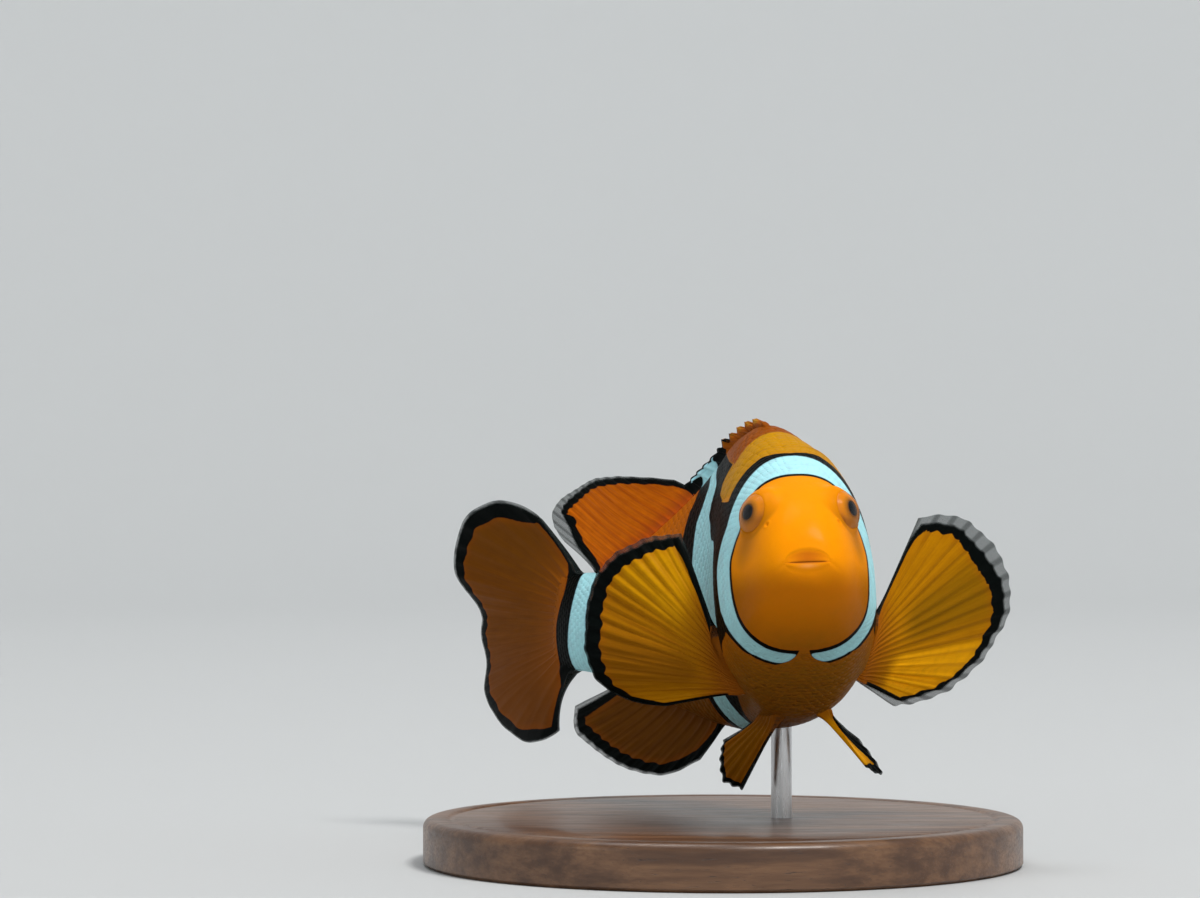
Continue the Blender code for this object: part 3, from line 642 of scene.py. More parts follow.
def skin_attrs(rest):
    s, y, z = rest[:, 0], rest[:, 1], rest[:, 2]
    white, black, saddle = marks(s, y, z)
    ay = np.abs(y)
    # painted shade, soft and brown: in front of and below the eye, low on the sides of the face, in the mouth's folds,
    # round the nostrils and along the gill edge
    g = 0.54 * gauss(s - (5.6 + 0.22 * (3.4 - z)), 2.2) * smoothstep((z + 1.6) / 4.2) * smoothstep((6.9 - z) / 1.6) * smoothstep((ay - 2.4) / 2.0)
    g = np.maximum(g, 0.50 * smoothstep((ay - 3.4) / 3.0) * smoothstep((1.8 - z) / 4.0) * smoothstep((15 - s) / 2.0))
    for sign in (1, -1):
        e = np.array([EYE_AT[0], sign * (EYE_AT[1] + EYE_OUT), EYE_AT[2]])
        d = rest - e
        r = np.linalg.norm(d, axis=1)
        th = np.degrees(np.arccos(np.clip(d @ (EYE_AXIS * np.array([1, sign, 1])) / np.maximum(r, 1e-6), -1, 1)))
        g = np.maximum(g, 0.30 * smoothstep((EYE_RIM + 6 - th) / 12) * (r < 3.2))
        below = smoothstep((EYE_AT[2] - z + 1.6) / 2.6)
        g = np.maximum(g, (0.26 + 0.30 * below) * smoothstep((EYE_RIM + 36 - th) / 34) * smoothstep((3.7 - r) / 0.7))
        g = np.maximum(g, 0.4 * gauss(np.linalg.norm(rest - NOSTRIL * np.array([1, sign, 1]), axis=1), 0.20))
    q = np.sqrt(np.clip(1 - (y / 2.15) ** 2, 0.03, 1))
    zu = z / q
    near = np.clip(1 - s / 1.5, 0, 1) * np.exp(-(ay / 2.1) ** 8)
    # painted shade in the lens of the upper lip, which faces down, and along the slit
    lens = smoothstep((zu + 0.05) / 0.25) * smoothstep((1.25 - zu) / 0.5)
    lip_shade = near * np.maximum(0.62 * lens * gauss(y, 1.5), 0.52 * gauss(zu, 0.13))
    g = np.maximum(g, near * 0.30 * gauss(zu - 1.2, 0.16))
    # painted highlight on the middle of the lower lip
    lip_highlight = 0.42 * near * gauss(z + 0.34, 0.18) * gauss(y, 0.7)
    x = s - gill_edge(np.arctan2(z - MID(s), y))
    g = np.maximum(g, 0.35 * gauss(x - 0.12, 0.16) * (s > 9) * (s < 22))
    return {"rest": rest, "white": white, "black": black, "saddle": saddle, "crease_shade": np.clip(g, 0, 1), "lip_highlight": lip_highlight, "lip_shade": lip_shade,
            "mouth": np.zeros(len(s))}


# ---------------------------------------------------------------- scales
SIZE = Curve([(5.5, 0.40), (9, 0.55), (14, 0.78), (20, 0.98), (40, 0.96), (52, 0.78), (60, 0.55)])
RISE = Curve([(5.5, 0.004), (9, 0.007), (15, 0.014), (21, 0.026), (45, 0.028), (56, 0.022), (60, 0.012)])


def build_scales(mat):
    roots_s, roots_q, rows = [], [], []
    s, k = 6.0, 0
    while s < 59.6:
        g = float(SIZE(s))
        row = int(round(s / 0.25))
        lo, hi = ARC[row][0], ARC[row][-1]
        m = np.arange(math.floor(lo / g) - 1, math.ceil(hi / g) + 2)
        q = (m + 0.5 * (k % 2)) * g
        q = q[(q > lo - 0.3 * g) & (q < hi + 0.3 * g)]
        roots_s.append(np.full(len(q), s))
        roots_q.append(q)
        s += 0.76 * g
        k += 1
    rs, rq = np.concatenate(roots_s), np.concatenate(roots_q)
    rs = rs + rng.normal(0, 0.03, len(rs)) * SIZE(rs)
    rq = rq + rng.normal(0, 0.025, len(rq)) * SIZE(rs)
    row = np.clip(np.round(rs / 0.25).astype(int), 0, len(ARC) - 1)
    lo, hi = ARC[row, 0], ARC[row, -1]
    g = SIZE(rs)
    inner = (rq > lo + 0.25 * g) & (rq < hi - 0.25 * g)          # midline ones are laid once, the others on both sides
    rs, rq = np.concatenate([rs, rs[inner]]), np.concatenate([rq, rq[inner]])
    right = np.concatenate([np.zeros(len(inner), bool), np.ones(int(inner.sum()), bool)])
    phi0 = phi_of(rs, rq)
    p0 = skin_point(rs, phi0)
    keep = np.ones(len(rs), bool)
    for sign in (1,):
        e = np.array([EYE_AT[0], EYE_AT[1], EYE_AT[2]])
        keep &= np.linalg.norm(p0 - e, axis=1) > 3.5
    keep &= rs > HEAD_F(p0[:, 2]) - 0.2
    rs, rq, right = rs[keep], rq[keep], right[keep]
    g, h = SIZE(rs)[:, None, None], RISE(rs)[:, None, None]
    a = np.linspace(-1, 1, 7)[None, :, None]
    tone = rng.uniform(-1, 1, len(rs))
    along = np.stack([np.full(7, -0.60), np.full(7, -0.05), 0.62 * np.sqrt(1 - 0.72 * a[0, :, 0] ** 2),
                      0.62 * np.sqrt(1 - 0.72 * a[0, :, 0] ** 2) + 0.02], -1)[None]
    width = np.array([0.50, 0.575, 0.56, 0.565])[None, None, :]
    up = np.stack([np.full(7, -1.3), 0.45 * (1 - a[0, :, 0] ** 2) - 0.25 * a[0, :, 0] ** 2, 1.0 - 0.75 * a[0, :, 0] ** 2,
                   np.full(7, -1.3)], -1)[None]
    ds, dq = along * g, a * width * g
    vs = rs[:, None, None] + ds
    vq = rq[:, None, None] + dq + 0 * ds
    phi = phi_of(vs.ravel(), vq.ravel())
    phi = np.where(np.repeat(right, 28), np.pi - phi, phi)
    p = skin_point(vs.ravel(), phi, (h * up).ravel())
    world = place(p[:, 0], p[:, 1], p[:, 2])
    jj, ii = np.meshgrid(np.arange(6), np.arange(3), indexing="ij")
    cell = np.stack([jj * 4 + ii, jj * 4 + ii + 1, (jj + 1) * 4 + ii + 1, (jj + 1) * 4 + ii], -1).reshape(-1, 4)
    faces = (np.arange(len(rs))[:, None, None] * 28 + cell[None]).reshape(-1, 4)
    # face order: outward on the left half, the other way on the mirrored half
    quad = world[faces]
    nrm = np.cross(quad[:, 2] - quad[:, 0], quad[:, 3] - quad[:, 1])
    centre = place(p[:, 0], 0 * p[:, 0], MID(p[:, 0]))
    top = (np.arange(len(faces)) % 18) % 3 < 2
    flip_scale = np.zeros(len(rs), bool)
    score = (nrm * (quad.mean(1) - centre[faces[:, 0]])).sum(1) * top
    flip_scale = score.reshape(len(rs), 18).sum(1) < 0
    # closed underneath as well, so that every scale is a solid flake
    j = np.arange(6)
    under = np.stack([j * 4, (j + 1) * 4, (j + 1) * 4 + 3, j * 4 + 3], -1)
    cell = np.concatenate([cell, under, [[3, 2, 1, 0], [24, 25, 26, 27]]])
    faces = (np.arange(len(rs))[:, None, None] * 28 + cell[None]).reshape(-1, 4)
    flip = np.repeat(flip_scale, 26)
    faces = np.where(flip[:, None], faces[:, ::-1], faces)
    attrs = skin_attrs(p)
    attrs["tone"] = np.repeat(tone, 28)
    # one small patch per scale, at its root's place on an unwrap of the body
    phi_root = phi_of(rs, rq)
    phi_root = np.where(right, np.pi - phi_root, phi_root) % (2 * np.pi)
    u0, v0 = 0.02 + 0.95 * rs / 64.0, 0.02 + 0.95 * phi_root / (2 * np.pi)
    patch_u = (along / 1.3 * 0.003) + 0 * a
    patch_v = a * 0.0015 + 0 * along
    uv = np.stack([u0[:, None, None] + patch_u, v0[:, None, None] + patch_v], -1).reshape(-1, 2)
    made = []
    for name, pick in (("scales_head", rs < 17.0), ("scales_body", rs >= 17.0)):
        ids = np.nonzero(pick)[0]
        vid = (ids[:, None] * 28 + np.arange(28)).ravel()
        remap = -np.ones(len(world), int)
        remap[vid] = np.arange(len(vid))
        fid = (ids[:, None] * 26 + np.arange(26)).ravel()
        f = remap[faces[fid]]
        ob = mesh_object(name, world[vid], f, {k: v[vid] for k, v in attrs.items()}, mat)
        layer = ob.data.uv_layers.new(name="OFBake")
        loops = np.empty(len(ob.data.loops), np.int32)
        ob.data.loops.foreach_get("vertex_index", loops)
        hidden = np.tile(np.arange(26) >= 18, len(ids))
        centre = np.stack([np.repeat(u0, 28), np.repeat(v0, 28)], -1)[vid][loops]
        flat = uv[vid][loops]
        flat = np.where(np.repeat(hidden, 4)[:, None], centre + 0.4 * (flat - centre) + [-0.004, 0.0], flat)
        layer.data.foreach_set("uv", flat.astype(np.float32).ravel())
        ob.data.attributes.new("sharp_face", "BOOLEAN", "FACE").data.foreach_set("value", hidden)
        made.append(ob)
    return made


# ---------------------------------------------------------------- fins
def grid_uv(nu, nv):
    return np.meshgrid(np.linspace(0, 1, nu), np.linspace(0, 1, nv), indexing="ij")


def build_fin(name, mid, rest, half, edge_grid, rays, margins, mat, node, ray_phase, out, marked=False, extra=None,
              tone=None, tail_bar=False, root_clear=0.9):
    """Closed thin solid about the grid mid, with half its thickness in half, and the attributes its paint needs."""
    nu, nv = mid.shape[:2]
    du, dv = np.gradient(mid, axis=0), np.gradient(mid, axis=1)
    n = np.cross(du, dv)
    n /= np.maximum(np.linalg.norm(n, axis=-1), 1e-9)[..., None]
    # distance from each point to the free edge, and where on the edge that is
    pts, par = [], []
    for i in range(nu):
        pts.append(mid[i, -1])
        par.append(i / (nu - 1))
    for j in range(int(nv * 0.12), nv - 1):
        v = j / (nv - 1)
        if edge_grid[0]:
            pts.append(mid[0, j])
            par.append(-(1 - v))
        if edge_grid[1]:
            pts.append(mid[-1, j])
            par.append(2 - v)
    tree = KDTree(len(pts))
    for i, q in enumerate(pts):
        tree.insert(Vector(q), i)
    tree.balance()
    dist = np.empty((nu, nv))
    where = np.empty((nu, nv))
    for i in range(nu):
        for j in range(nv):
            _, k, d = tree.find(Vector(mid[i, j]))
            dist[i, j] = d
            where[i, j] = par[k]
    rim_w, black_w = margins[0](where), margins[1](where)
    tooth = margins[2] if len(margins) > 2 else 0.09
    crest = np.cos(2 * np.pi * ray_phase)
    rim = rim_w - dist
    black = rim_w + black_w + tooth * crest * np.clip(black_w, 0, 1) - dist
    if not marked and extra is None:
        black = np.minimum(black, (out - root_clear) * 0.35)
    white = np.full((nu, nv), -9.0)
    if marked:
        w, b, _ = marks(rest[..., 0], rest[..., 1], rest[..., 2], tail_bar)
        white, black = np.maximum(white, w), np.maximum(black, b)
    if extra is not None:
        white, black, rim = extra(white, black, rim, dist)
    off = n * half[..., None]
    front, back = mid + off, mid - off
    verts = np.concatenate([front.reshape(-1, 3), back.reshape(-1, 3)])
    m = nu * nv
    i, j = np.meshgrid(np.arange(nu - 1), np.arange(nv - 1), indexing="ij")
    a = (i * nv + j).ravel()
    f1 = np.stack([a, a + nv, a + nv + 1, a + 1], -1)
    f2 = f1[:, ::-1] + m
    ends = []
    for jj, rev in ((0, False), (nv - 1, True)):
        k = np.arange(nu - 1) * nv + jj
        q = np.stack([k, k + m, k + nv + m, k + nv], -1)
        ends.append(q[:, ::-1] if rev else q)
    for ii, rev in ((0, True), (nu - 1, False)):
        k = ii * nv + np.arange(nv - 1)
        q = np.stack([k, k + m, k + 1 + m, k + 1], -1)
        ends.append(q[:, ::-1] if rev else q)
    faces = np.concatenate([f1, f2] + ends)
    if volume(verts, faces) < 0:
        faces = faces[:, ::-1]
    two = lambda x: np.concatenate([x.reshape(-1), x.reshape(-1)])
    uu, vv = grid_uv(nu, nv)
    length = np.linalg.norm(mid[nu // 2, -1] - mid[nu // 2, 0])
    wide = np.linalg.norm(np.diff(mid[:, nv // 2], axis=0), axis=-1).sum()
    local = np.stack([uu * wide, vv * length, 0 * uu], -1)
    attrs = {"rest": np.concatenate([rest.reshape(-1, 3)] * 2), "local": np.concatenate([local.reshape(-1, 3)] * 2),
             "ray": two(ray_phase), "along": two(vv), "across": two(uu), "rim": two(rim), "black": two(black), "white": two(white),
             "out": two(out), "tone": two(0 * dist if tone is None else tone)}
    ob = mesh_object(name, verts, faces, attrs, mat)
    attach(ob, "root")
    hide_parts(node)
    return ob


def ray_ridge(phase, v, split=0.5):
    """Cross profile of the fin: a ridge on each ray, which forks towards its tip."""
    one = np.abs(np.cos(np.pi * phase)) ** 5
    fork = np.abs(np.cos(2 * np.pi * phase)) ** 5
    f = smoothstep((v - split) / 0.25)
    return one * (1 - f) + 0.7 * fork * f


def thickness(r, v, phase, root, body=0.13, ray=0.13, tip=0.035, reach=1.1, sides=None, split=0.5):
    """Half thickness: a fleshy root, membrane and rays, thinning to the edge."""
    h = body * (1 - 0.45 * v) + ray * (1 - 0.55 * v) * ray_ridge(phase, v, split)
    h = h + root * np.exp(-np.maximum(r, 0) / reach)
    h = h * (1 - smoothstep((v - 0.93) / 0.07)) + tip * smoothstep((v - 0.93) / 0.07)
    if sides is not None:
        h = tip + (h - tip) * sides
    return h


FQ = 1.0


def fq(n):
    return int(n * FQ)


# -- spiny dorsal fin
SPINY_SWEEP = Curve([(20.2, 1.2), (22, 2.6), (26, 3.6), (31, 3.8), (36.4, 2.6)])
SPINY_HIGH = Curve([(21.4, 0.5), (23, 0.6), (26.5, 0.95), (29, 1.4), (32.4, 2.0), (34.2, 2.0), (36.5, 2.1), (39, 2.0)])


def spiny(mat):
    rays, nu, nv = 11, fq(220), fq(34)
    u, v = grid_uv(nu, nv)
    s = 20.2 + 16.8 * u
    tip = s + SPINY_SWEEP(s)
    phase = u * rays
    saw = (phase % 1.0)
    front = smoothstep((34.0 - tip) / 3.0)                     # the teeth fade towards the soft fin
    high = SPINY_HIGH(tip) * (1.0 - 0.30 * front * (1 - saw**1.6)) + 0.30 * front * saw**2
    z0, z1 = TOP(s) - 0.75, TOP(tip) + high
    z = z0 + (z1 - z0) * v
    ss = s + (tip - s) * v
    r = v * np.hypot(tip - s, z1 - z0) - 0.9
    y = 0.12 * np.sin(2 * np.pi * phase) * v**1.5 - 0.55 * front * v**1.3
    mid = place(ss, y, z)
    rest = np.stack([ss, y, z], -1)
    sides = smoothstep(np.minimum(u, 1 - u) / 0.01)
    above = np.maximum(z - TOP(ss), 0)
    half = 0.09 + 0.32 * np.exp(-above / 0.5) + 0.15 * smoothstep((0.22 - np.abs(saw - 0.86)) / 0.2)
    half = half * (1 - smoothstep((v - 0.86) / 0.14)) + 0.04 * smoothstep((v - 0.86) / 0.14)
    half = 0.03 + (half - 0.03) * sides

    def extra(white, black, rim, dist):
        black = np.minimum(ss + 0.4 * np.sin(z * 4.0) - SPINY_BLACK, 3.0)
        black = np.maximum(black, np.minimum(0.10 - dist, (ss - 29.5) * 0.1))
        spike = np.minimum(np.minimum(1.75 - 0.15 * (ss - 34.2) - above, (ss - 33.1 - 0.45 * above) * 0.7), (36.0 + 0.25 * above - ss) * 0.8)
        arm = np.minimum(np.minimum(1.85 - above, above - 1.35 - 0.12 * (ss - 36)), np.minimum(ss - 35.0, 38.3 - ss) * 0.8)
        spike = np.maximum(spike, arm)
        return np.maximum(white * 0 - 5, spike), black, rim - 5
    margins = (Curve([(-1, 0.0), (2, 0.0)]), Curve([(-1, 0.1), (2, 0.1)]), 0.05)
    return build_fin("dorsal_front", mid, rest, half, (False, False), rays, margins, mat, "fin_dorsal_front",
                     phase, above * 2.0, extra=extra, tone=smoothstep((v - 0.72) / 0.28) * smoothstep((saw - 0.25) / 0.5) * front)


# -- soft dorsal and anal fins
SOFT_LEAN = Curve([(37, 62), (40, 64), (50, 65), (53, 64), (55.4, 60)])
SOFT_LEN = Curve([(37, 3.4), (38.5, 7.0), (41, 11.2), (44, 13.8), (48, 14.7), (51.5, 13.2), (53.5, 10.2),
                  (54.7, 7.4), (55.4, 5.6)])
ANAL_LEAN = Curve([(38.5, 50), (44, 60), (51.5, 70)])
ANAL_LEN = Curve([(38.5, 4.5), (40.5, 8.0), (44, 9.8), (48, 9.6), (51.5, 6.6)])


def soft(name, s0, s1, lean, length, edge, sign, rays, margins, mat, node, slot, nu, nv, wave):
    u, v = grid_uv(fq(nu), fq(nv))
    s = s0 + (s1 - s0) * u
    a = np.radians(lean(s))
    phase = u * rays
    ln = length(s) + 0.3
    ln = ln * (1 - 0.010 * (1 - np.abs(np.cos(np.pi * phase)) ** 2)) + 0.08 * np.sin(phase * 1.3) * np.sin(np.pi * u)
    r = -1.0 + v * (ln + 1.0)
    y = wave[0] * np.sin(2 * np.pi * (1.15 * u + 0.45 * v) + wave[1]) * v**1.6 + 0.05 * np.cos(2 * np.pi * phase) * v**1.2
    ss, z = s + r * np.sin(a), edge(s) + sign * (r * np.cos(a))
    mid = place(ss, y, z)
    rest = np.stack([ss, y, z], -1)
    sides = smoothstep(np.minimum(u, 1 - u) / 0.012)
    half = thickness(r, v, phase, 0.42, 0.12, 0.12, reach=0.9, sides=sides)
    return build_fin(name, mid, rest, half, (True, True), rays, margins, mat, node, phase, r, marked=True)


# -- tail fin
TAIL_LEN = Curve([(0, 16.4), (0.25, 17.0), (0.5, 17.4), (0.7, 16.0), (0.85, 13.0), (0.94, 9.6), (1.0, 6.4)])
TAIL_SWEEP = Curve([(-1.0, 3.0), (-0.4, 2.4), (0, 1.2), (0.4, -2.2), (0.7, -3.4), (1.0, -1.6)])


def caudal(mat):
    rays = 17
    nu, nv = fq(230), fq(84)
    u, v = grid_uv(nu, nv)
    w = np.sin((2 * u - 1) * np.pi / 2)
    phase = (w * 0.5 + 0.5) * rays
    ln = TAIL_LEN(np.abs(w)) + 0.3
    ln = ln * (1 - 0.012 * (1 - np.abs(np.cos(np.pi * phase)) ** 2)) + 0.12 * np.sin(phase * 1.7 + 1)
    r = -3.2 + v * (ln + 3.2)
    rr = np.maximum(r, 0)
    vv = rr / ln
    fan = np.radians(24.0 * w + 34.0 * w**5)
    y = TAIL_SWEEP(w) * vv**1.7 + 0.22 * np.sin(2 * np.pi * phase / 4.2) * vv**1.4 + 0.07 * np.cos(2 * np.pi * phase) * vv
    back = 1.9 * smoothstep((np.abs(w) - 0.75) / 0.25) * (1 - vv)
    ss = STALK_END - back + r * np.cos(fan * np.clip(r / 2 + 1, 0, 1))
    z = w * 5.25 * (1 - 0.07 * smoothstep(-r / 1.2)) + r * np.sin(fan * np.clip(r / 2 + 1, 0, 1)) * (r > 0)
    mid = place(ss, y, z)
    rest = np.stack([ss, y, z], -1)
    sides = smoothstep(np.minimum(u, 1 - u) / 0.02)
    round_root = np.sqrt(np.clip(1 - 0.9 * w**2, 0.02, 1))
    half = thickness(rr, vv, phase, 0.0, 0.13, 0.13, sides=None, split=0.35)
    half = half * (1 - smoothstep((v - 0.95) / 0.05)) + 0.035 * smoothstep((v - 0.95) / 0.05)
    half = half + 0.95 * np.exp(-rr / 2.2) * round_root * smoothstep((r + 3.2) / 2.4)
    half = 0.03 + (half - 0.03) * sides
    margins = (Curve([(-1, 0.05), (0, 0.2), (0.5, 0.3), (0.9, 0.35), (1, 0.2), (1.3, 0.08), (2, 0.05)]),
               Curve([(-1, 0.30), (-0.4, 0.35), (0, 0.7), (0.1, 1.2), (0.25, 1.4), (0.45, 1.1), (0.6, 1.2), (0.75, 1.5), (0.88, 1.5), (0.97, 0.8),
                      (1.06, 0.45), (1.5, 0.30), (2, 0.3)]), 0.06)
    # painted light and shade across the tail: lighter towards the upper lobe, darker towards the lower one
    tone = 0.5 * smoothstep((w - 0.2) / 0.5) - 0.6 * smoothstep((0.1 - w) / 0.6)
    return build_fin("caudal", mid, rest, half, (True, True), rays, margins, mat, "fin_caudal", phase, r + 1.0,
                     marked=True, tail_bar=True, tone=tone)


# -- paired fins
def outward(s, phi, gap):
    e = 1e-3
    y0, z0 = section(s, phi)
    y1, z1 = section(s + e, phi)
    y2, z2 = section(s, phi + e)
    p, a, b = place(s, y0, z0), place(s + e, y1, z1), place(s, y2, z2)
    n = np.cross(b - p, a - p)
    n /= np.linalg.norm(n, axis=-1)[..., None]
    c = place(s, 0, MID(s))
    n = n * np.sign(np.sum(n * (p - c), axis=-1))[..., None]
    return p + n * gap, n


PEC_LEN = {"right": Curve([(0, 10.1), (0.08, 11.3), (0.22, 13.4), (0.36, 14.9), (0.5, 15.4), (0.64, 15.0), (0.8, 14.0),
                           (0.9, 12.3), (0.96, 9.9), (1.0, 7.4)]),
           "left": Curve([(0, 10.8), (0.08, 13.0), (0.22, 15.4), (0.36, 16.4), (0.5, 16.4), (0.64, 15.0), (0.8, 12.2),
                          (0.92, 8.6), (1.0, 6.0)])}
PEC = {"right": dict(sign=-1, up=70.0, down=-12.0, back=(16.0, 6.0), cup=1.4),
       "left": dict(sign=1, up=65.0, down=-24.0, back=(12.0, 36.0), cup=1.2)}
PEC_MARGIN = {
    "right": (Curve([(-1, 0.05), (-0.2, 0.10), (0, 0.35), (0.2, 0.50), (0.45, 0.32), (0.6, 0.20), (1, 0.10), (2, 0.05)]),
              Curve([(-1, 0.10), (-0.8, 0.45), (-0.3, 0.50), (0, 0.85), (0.2, 1.0), (0.4, 1.2), (0.6, 1.35), (0.78, 1.3), (0.9, 0.8), (1, 0.40), (1.5, 0.30), (2, 0.1)]), 0.08),
    "left": (Curve([(-1, 0.05), (-0.2, 0.15), (0, 0.7), (0.15, 1.1), (0.3, 1.4), (0.45, 0.8), (0.6, 0.6), (0.8, 0.8), (1, 0.7), (1.6, 0.3), (2, 0.1)]),
             Curve([(-1, 0.10), (-0.3, 0.22), (0, 0.75), (0.15, 0.9), (0.35, 1.35), (0.5, 1.3), (0.65, 0.9), (0.8, 0.5), (1, 0.4), (1.6, 0.3), (2, 0.1)]), 0.11)}


def pectoral(side, mat):
    sign, up, down, back, cup = (PEC[side][k] for k in ("sign", "up", "down", "back", "cup"))
    rays, nu, nv = 17, fq(220), fq(80)
    u, v = grid_uv(nu, nv)
    phase = u * rays
    s = 18.4 + 2.2 * u
    phi = np.radians(-11.0 - 32.0 * u)
    phi = phi if sign > 0 else np.pi - phi
    root, n = outward(s, phi, 0.3)
    ang = np.radians(up + (down - up) * u**0.9)
    b = np.radians(back[0] + back[1] * u**1.5)
    axis = np.stack([sign * np.cos(ang) * np.cos(b), np.cos(ang) * np.sin(b) + 0.2 * np.abs(np.sin(ang)), np.sin(ang)], -1)
    axis /= np.linalg.norm(axis, axis=-1)[..., None]
    ln = PEC_LEN[side](u) + 0.3
    low = smoothstep((u - 0.5) / 0.4)
    ln = ln * (1 - 0.008 * (1 - np.abs(np.cos(np.pi * phase)) ** 2)) + 0.09 * np.sin(phase * 1.1) + 0.06 * np.sin(phase * 2.7 + 1)
    r = -1.6 + v * (ln + 1.6)
    rr = np.maximum(r, 0)
    vv = rr / ln
    bow = (cup * np.sin(np.pi * u) * vv**1.5)[..., None] * np.array([0, -1.0, 0])
    # pleats across the fan, deepest at the lower rays
    uneven = 0.65 + 0.35 * np.sin(phase * 1.9 + 0.7)
    deep = 0.11 + 0.20 * low if side == "left" else 0.19 - 0.14 * low
    fold = deep * uneven * np.cos(2 * np.pi * phase + 0.4 + 0.6 * np.sin(phase * 0.8)) * vv * (1 - 0.55 * smoothstep((vv - 0.8) / 0.2))
    swell = 0.28 * np.sin(2 * np.pi * u * 2.3 + 0.8) * vv**1.3
    if side == "left":      # partly the fin's own tones, partly painted light and shade: dull in the middle of the fan, bright towards the lower edge
        tone = 1.2 * smoothstep((u - 0.54) / 0.16) * smoothstep((rr - 2.0) / 3.0) - 1.0 * gauss(u - 0.40, 0.15) * smoothstep((rr - 2.5) / 4.0)
    else:
        # painted light on the upper rays and at the lower edge, painted shade across the lower middle of the fan
        tone = 0.8 * smoothstep((0.52 - u) / 0.2) * smoothstep((rr - 3.0) / 4.0) - 1.0 * gauss(u - 0.72, 0.16) * smoothstep((rr - 2.0) / 3.0)
        tone = tone + 0.7 * gauss(u - 0.95, 0.05) * smoothstep((rr - 2.0) / 3.0)
    mid = root + axis * r[..., None] + bow
    du, dv = np.gradient(mid, axis=0), np.gradient(mid, axis=1)
    nn = np.cross(du, dv)
    nn /= np.linalg.norm(nn, axis=-1)[..., None]
    mid = mid + nn * (fold + swell)[..., None]
    sides = smoothstep(np.minimum(u, 1 - u) / 0.012)
    half = thickness(rr, vv, phase, 0.55, 0.11, 0.11, reach=1.0, sides=sides)
    half = half * smoothstep((r + 2.2) / 1.0)
    rest = np.stack([u * 14.0, vv * 14.0, 0 * u + 30], -1)
    return build_fin("pectoral_" + side, mid, rest, half, (True, True), rays, PEC_MARGIN[side], mat, "fin_pectoral_" + side,
                     phase, r, tone=tone)


PEL_LEN = {"right": Curve([(0, 10.0), (0.3, 10.0), (0.5, 8.7), (0.75, 6.7), (1.0, 4.8)]),
           "left": Curve([(0, 9.4), (0.2, 11.6), (0.4, 12.7), (0.6, 11.2), (0.8, 9.0), (1.0, 6.6)])}
PEL = {"right": dict(sign=-1, first=(-0.31, 0.62, -0.70), last=(-0.66, 0.60, -0.42), span=4.2, spread=12.0),
       "left": dict(sign=1, first=(0.46, 0.66, -0.56), last=(0.52, 0.92, -0.44), span=1.9, spread=6.0)}


def pelvic(side, mat):
    sign, first, last, span, spread = (PEL[side][k] for k in ("sign", "first", "last", "span", "spread"))
    rays, nu, nv = 6, fq(80), fq(64)
    u, v = grid_uv(nu, nv)
    phase = u * rays
    s = 20.4 + span * u
    phi = np.radians(-90.0 + sign * (13.0 + spread * u))
    root, n = outward(s, phi, 0.1)
    axis = np.array(first) * (1 - u[..., None]) + np.array(last) * u[..., None]
    axis /= np.linalg.norm(axis, axis=-1)[..., None]
    ln = (PEL_LEN[side](u) + 0.3) * (1 - 0.015 * (1 - np.abs(np.cos(np.pi * phase)) ** 2))
    r = -1.4 + v * (ln + 1.4)
    rr = np.maximum(r, 0)
    vv = rr / ln
    mid = root + axis * r[..., None]
    du, dv = np.gradient(mid, axis=0), np.gradient(mid, axis=1)
    nn = np.cross(du, dv)
    nn /= np.linalg.norm(nn, axis=-1)[..., None]
    mid = mid + nn * (0.08 * np.cos(2 * np.pi * phase) * vv + 0.25 * np.sin(np.pi * vv) * np.sin(np.pi * u))[..., None]
    sides = smoothstep(np.minimum(u, 1 - u) / 0.03)
    half = thickness(rr, vv, phase, 0.40, 0.12, 0.12, reach=0.9, sides=sides)
    half = half + 0.10 * gauss(u, 0.07) * (1 - 0.5 * vv)       # the stout first spine
    rest = np.stack([u * 8.0, vv * 12.0, 0 * u + 40], -1)
    rim = Curve([(-1, 0.0), (0, 0.12), (1, 0.18), (2, 0.05)])
    if side == "right":
        margins = (rim, Curve([(-1, -0.3), (-0.6, 0.05), (0, 0.40), (0.15, 0.6), (0.5, 0.55), (0.8, 0.35), (1, 0.25), (1.5, 0.15), (2, -0.2)]), 0.03)
    else:
        rim = Curve([(-1, -0.5), (-0.1, -0.3), (0, 0.08), (1, 0.20), (1.6, 0.16), (2, 0.05)])
        margins = (rim, Curve([(-1, -0.6), (-0.12, -0.5), (0, 0.3), (0.2, 0.9), (0.5, 1.2), (1, 1.4), (1.4, 1.5), (1.7, 1.0), (2, 0.2)]), 0.05)
    return build_fin("pelvic_" + side, mid, rest, half, (True, True), rays, margins, mat, "fin_pelvic_" + side,
                     phase, r)


# ---------------------------------------------------------------- eyes
PUPIL = 0.74                    # pupil's radius


def eye_frame(sign):
    at = np.array([EYE_AT[0], sign * (EYE_AT[1] + EYE_OUT), EYE_AT[2]])
    c = place(*at)
    ax = place(*(at + EYE_AXIS * np.array([1, sign, 1]))) - c
    ax /= np.linalg.norm(ax)
    up = place(at[0], at[1], at[2] + 1) - c
    side = np.cross(up, ax)
    side /= np.linalg.norm(side)
    return c, ax, side, np.cross(ax, side)


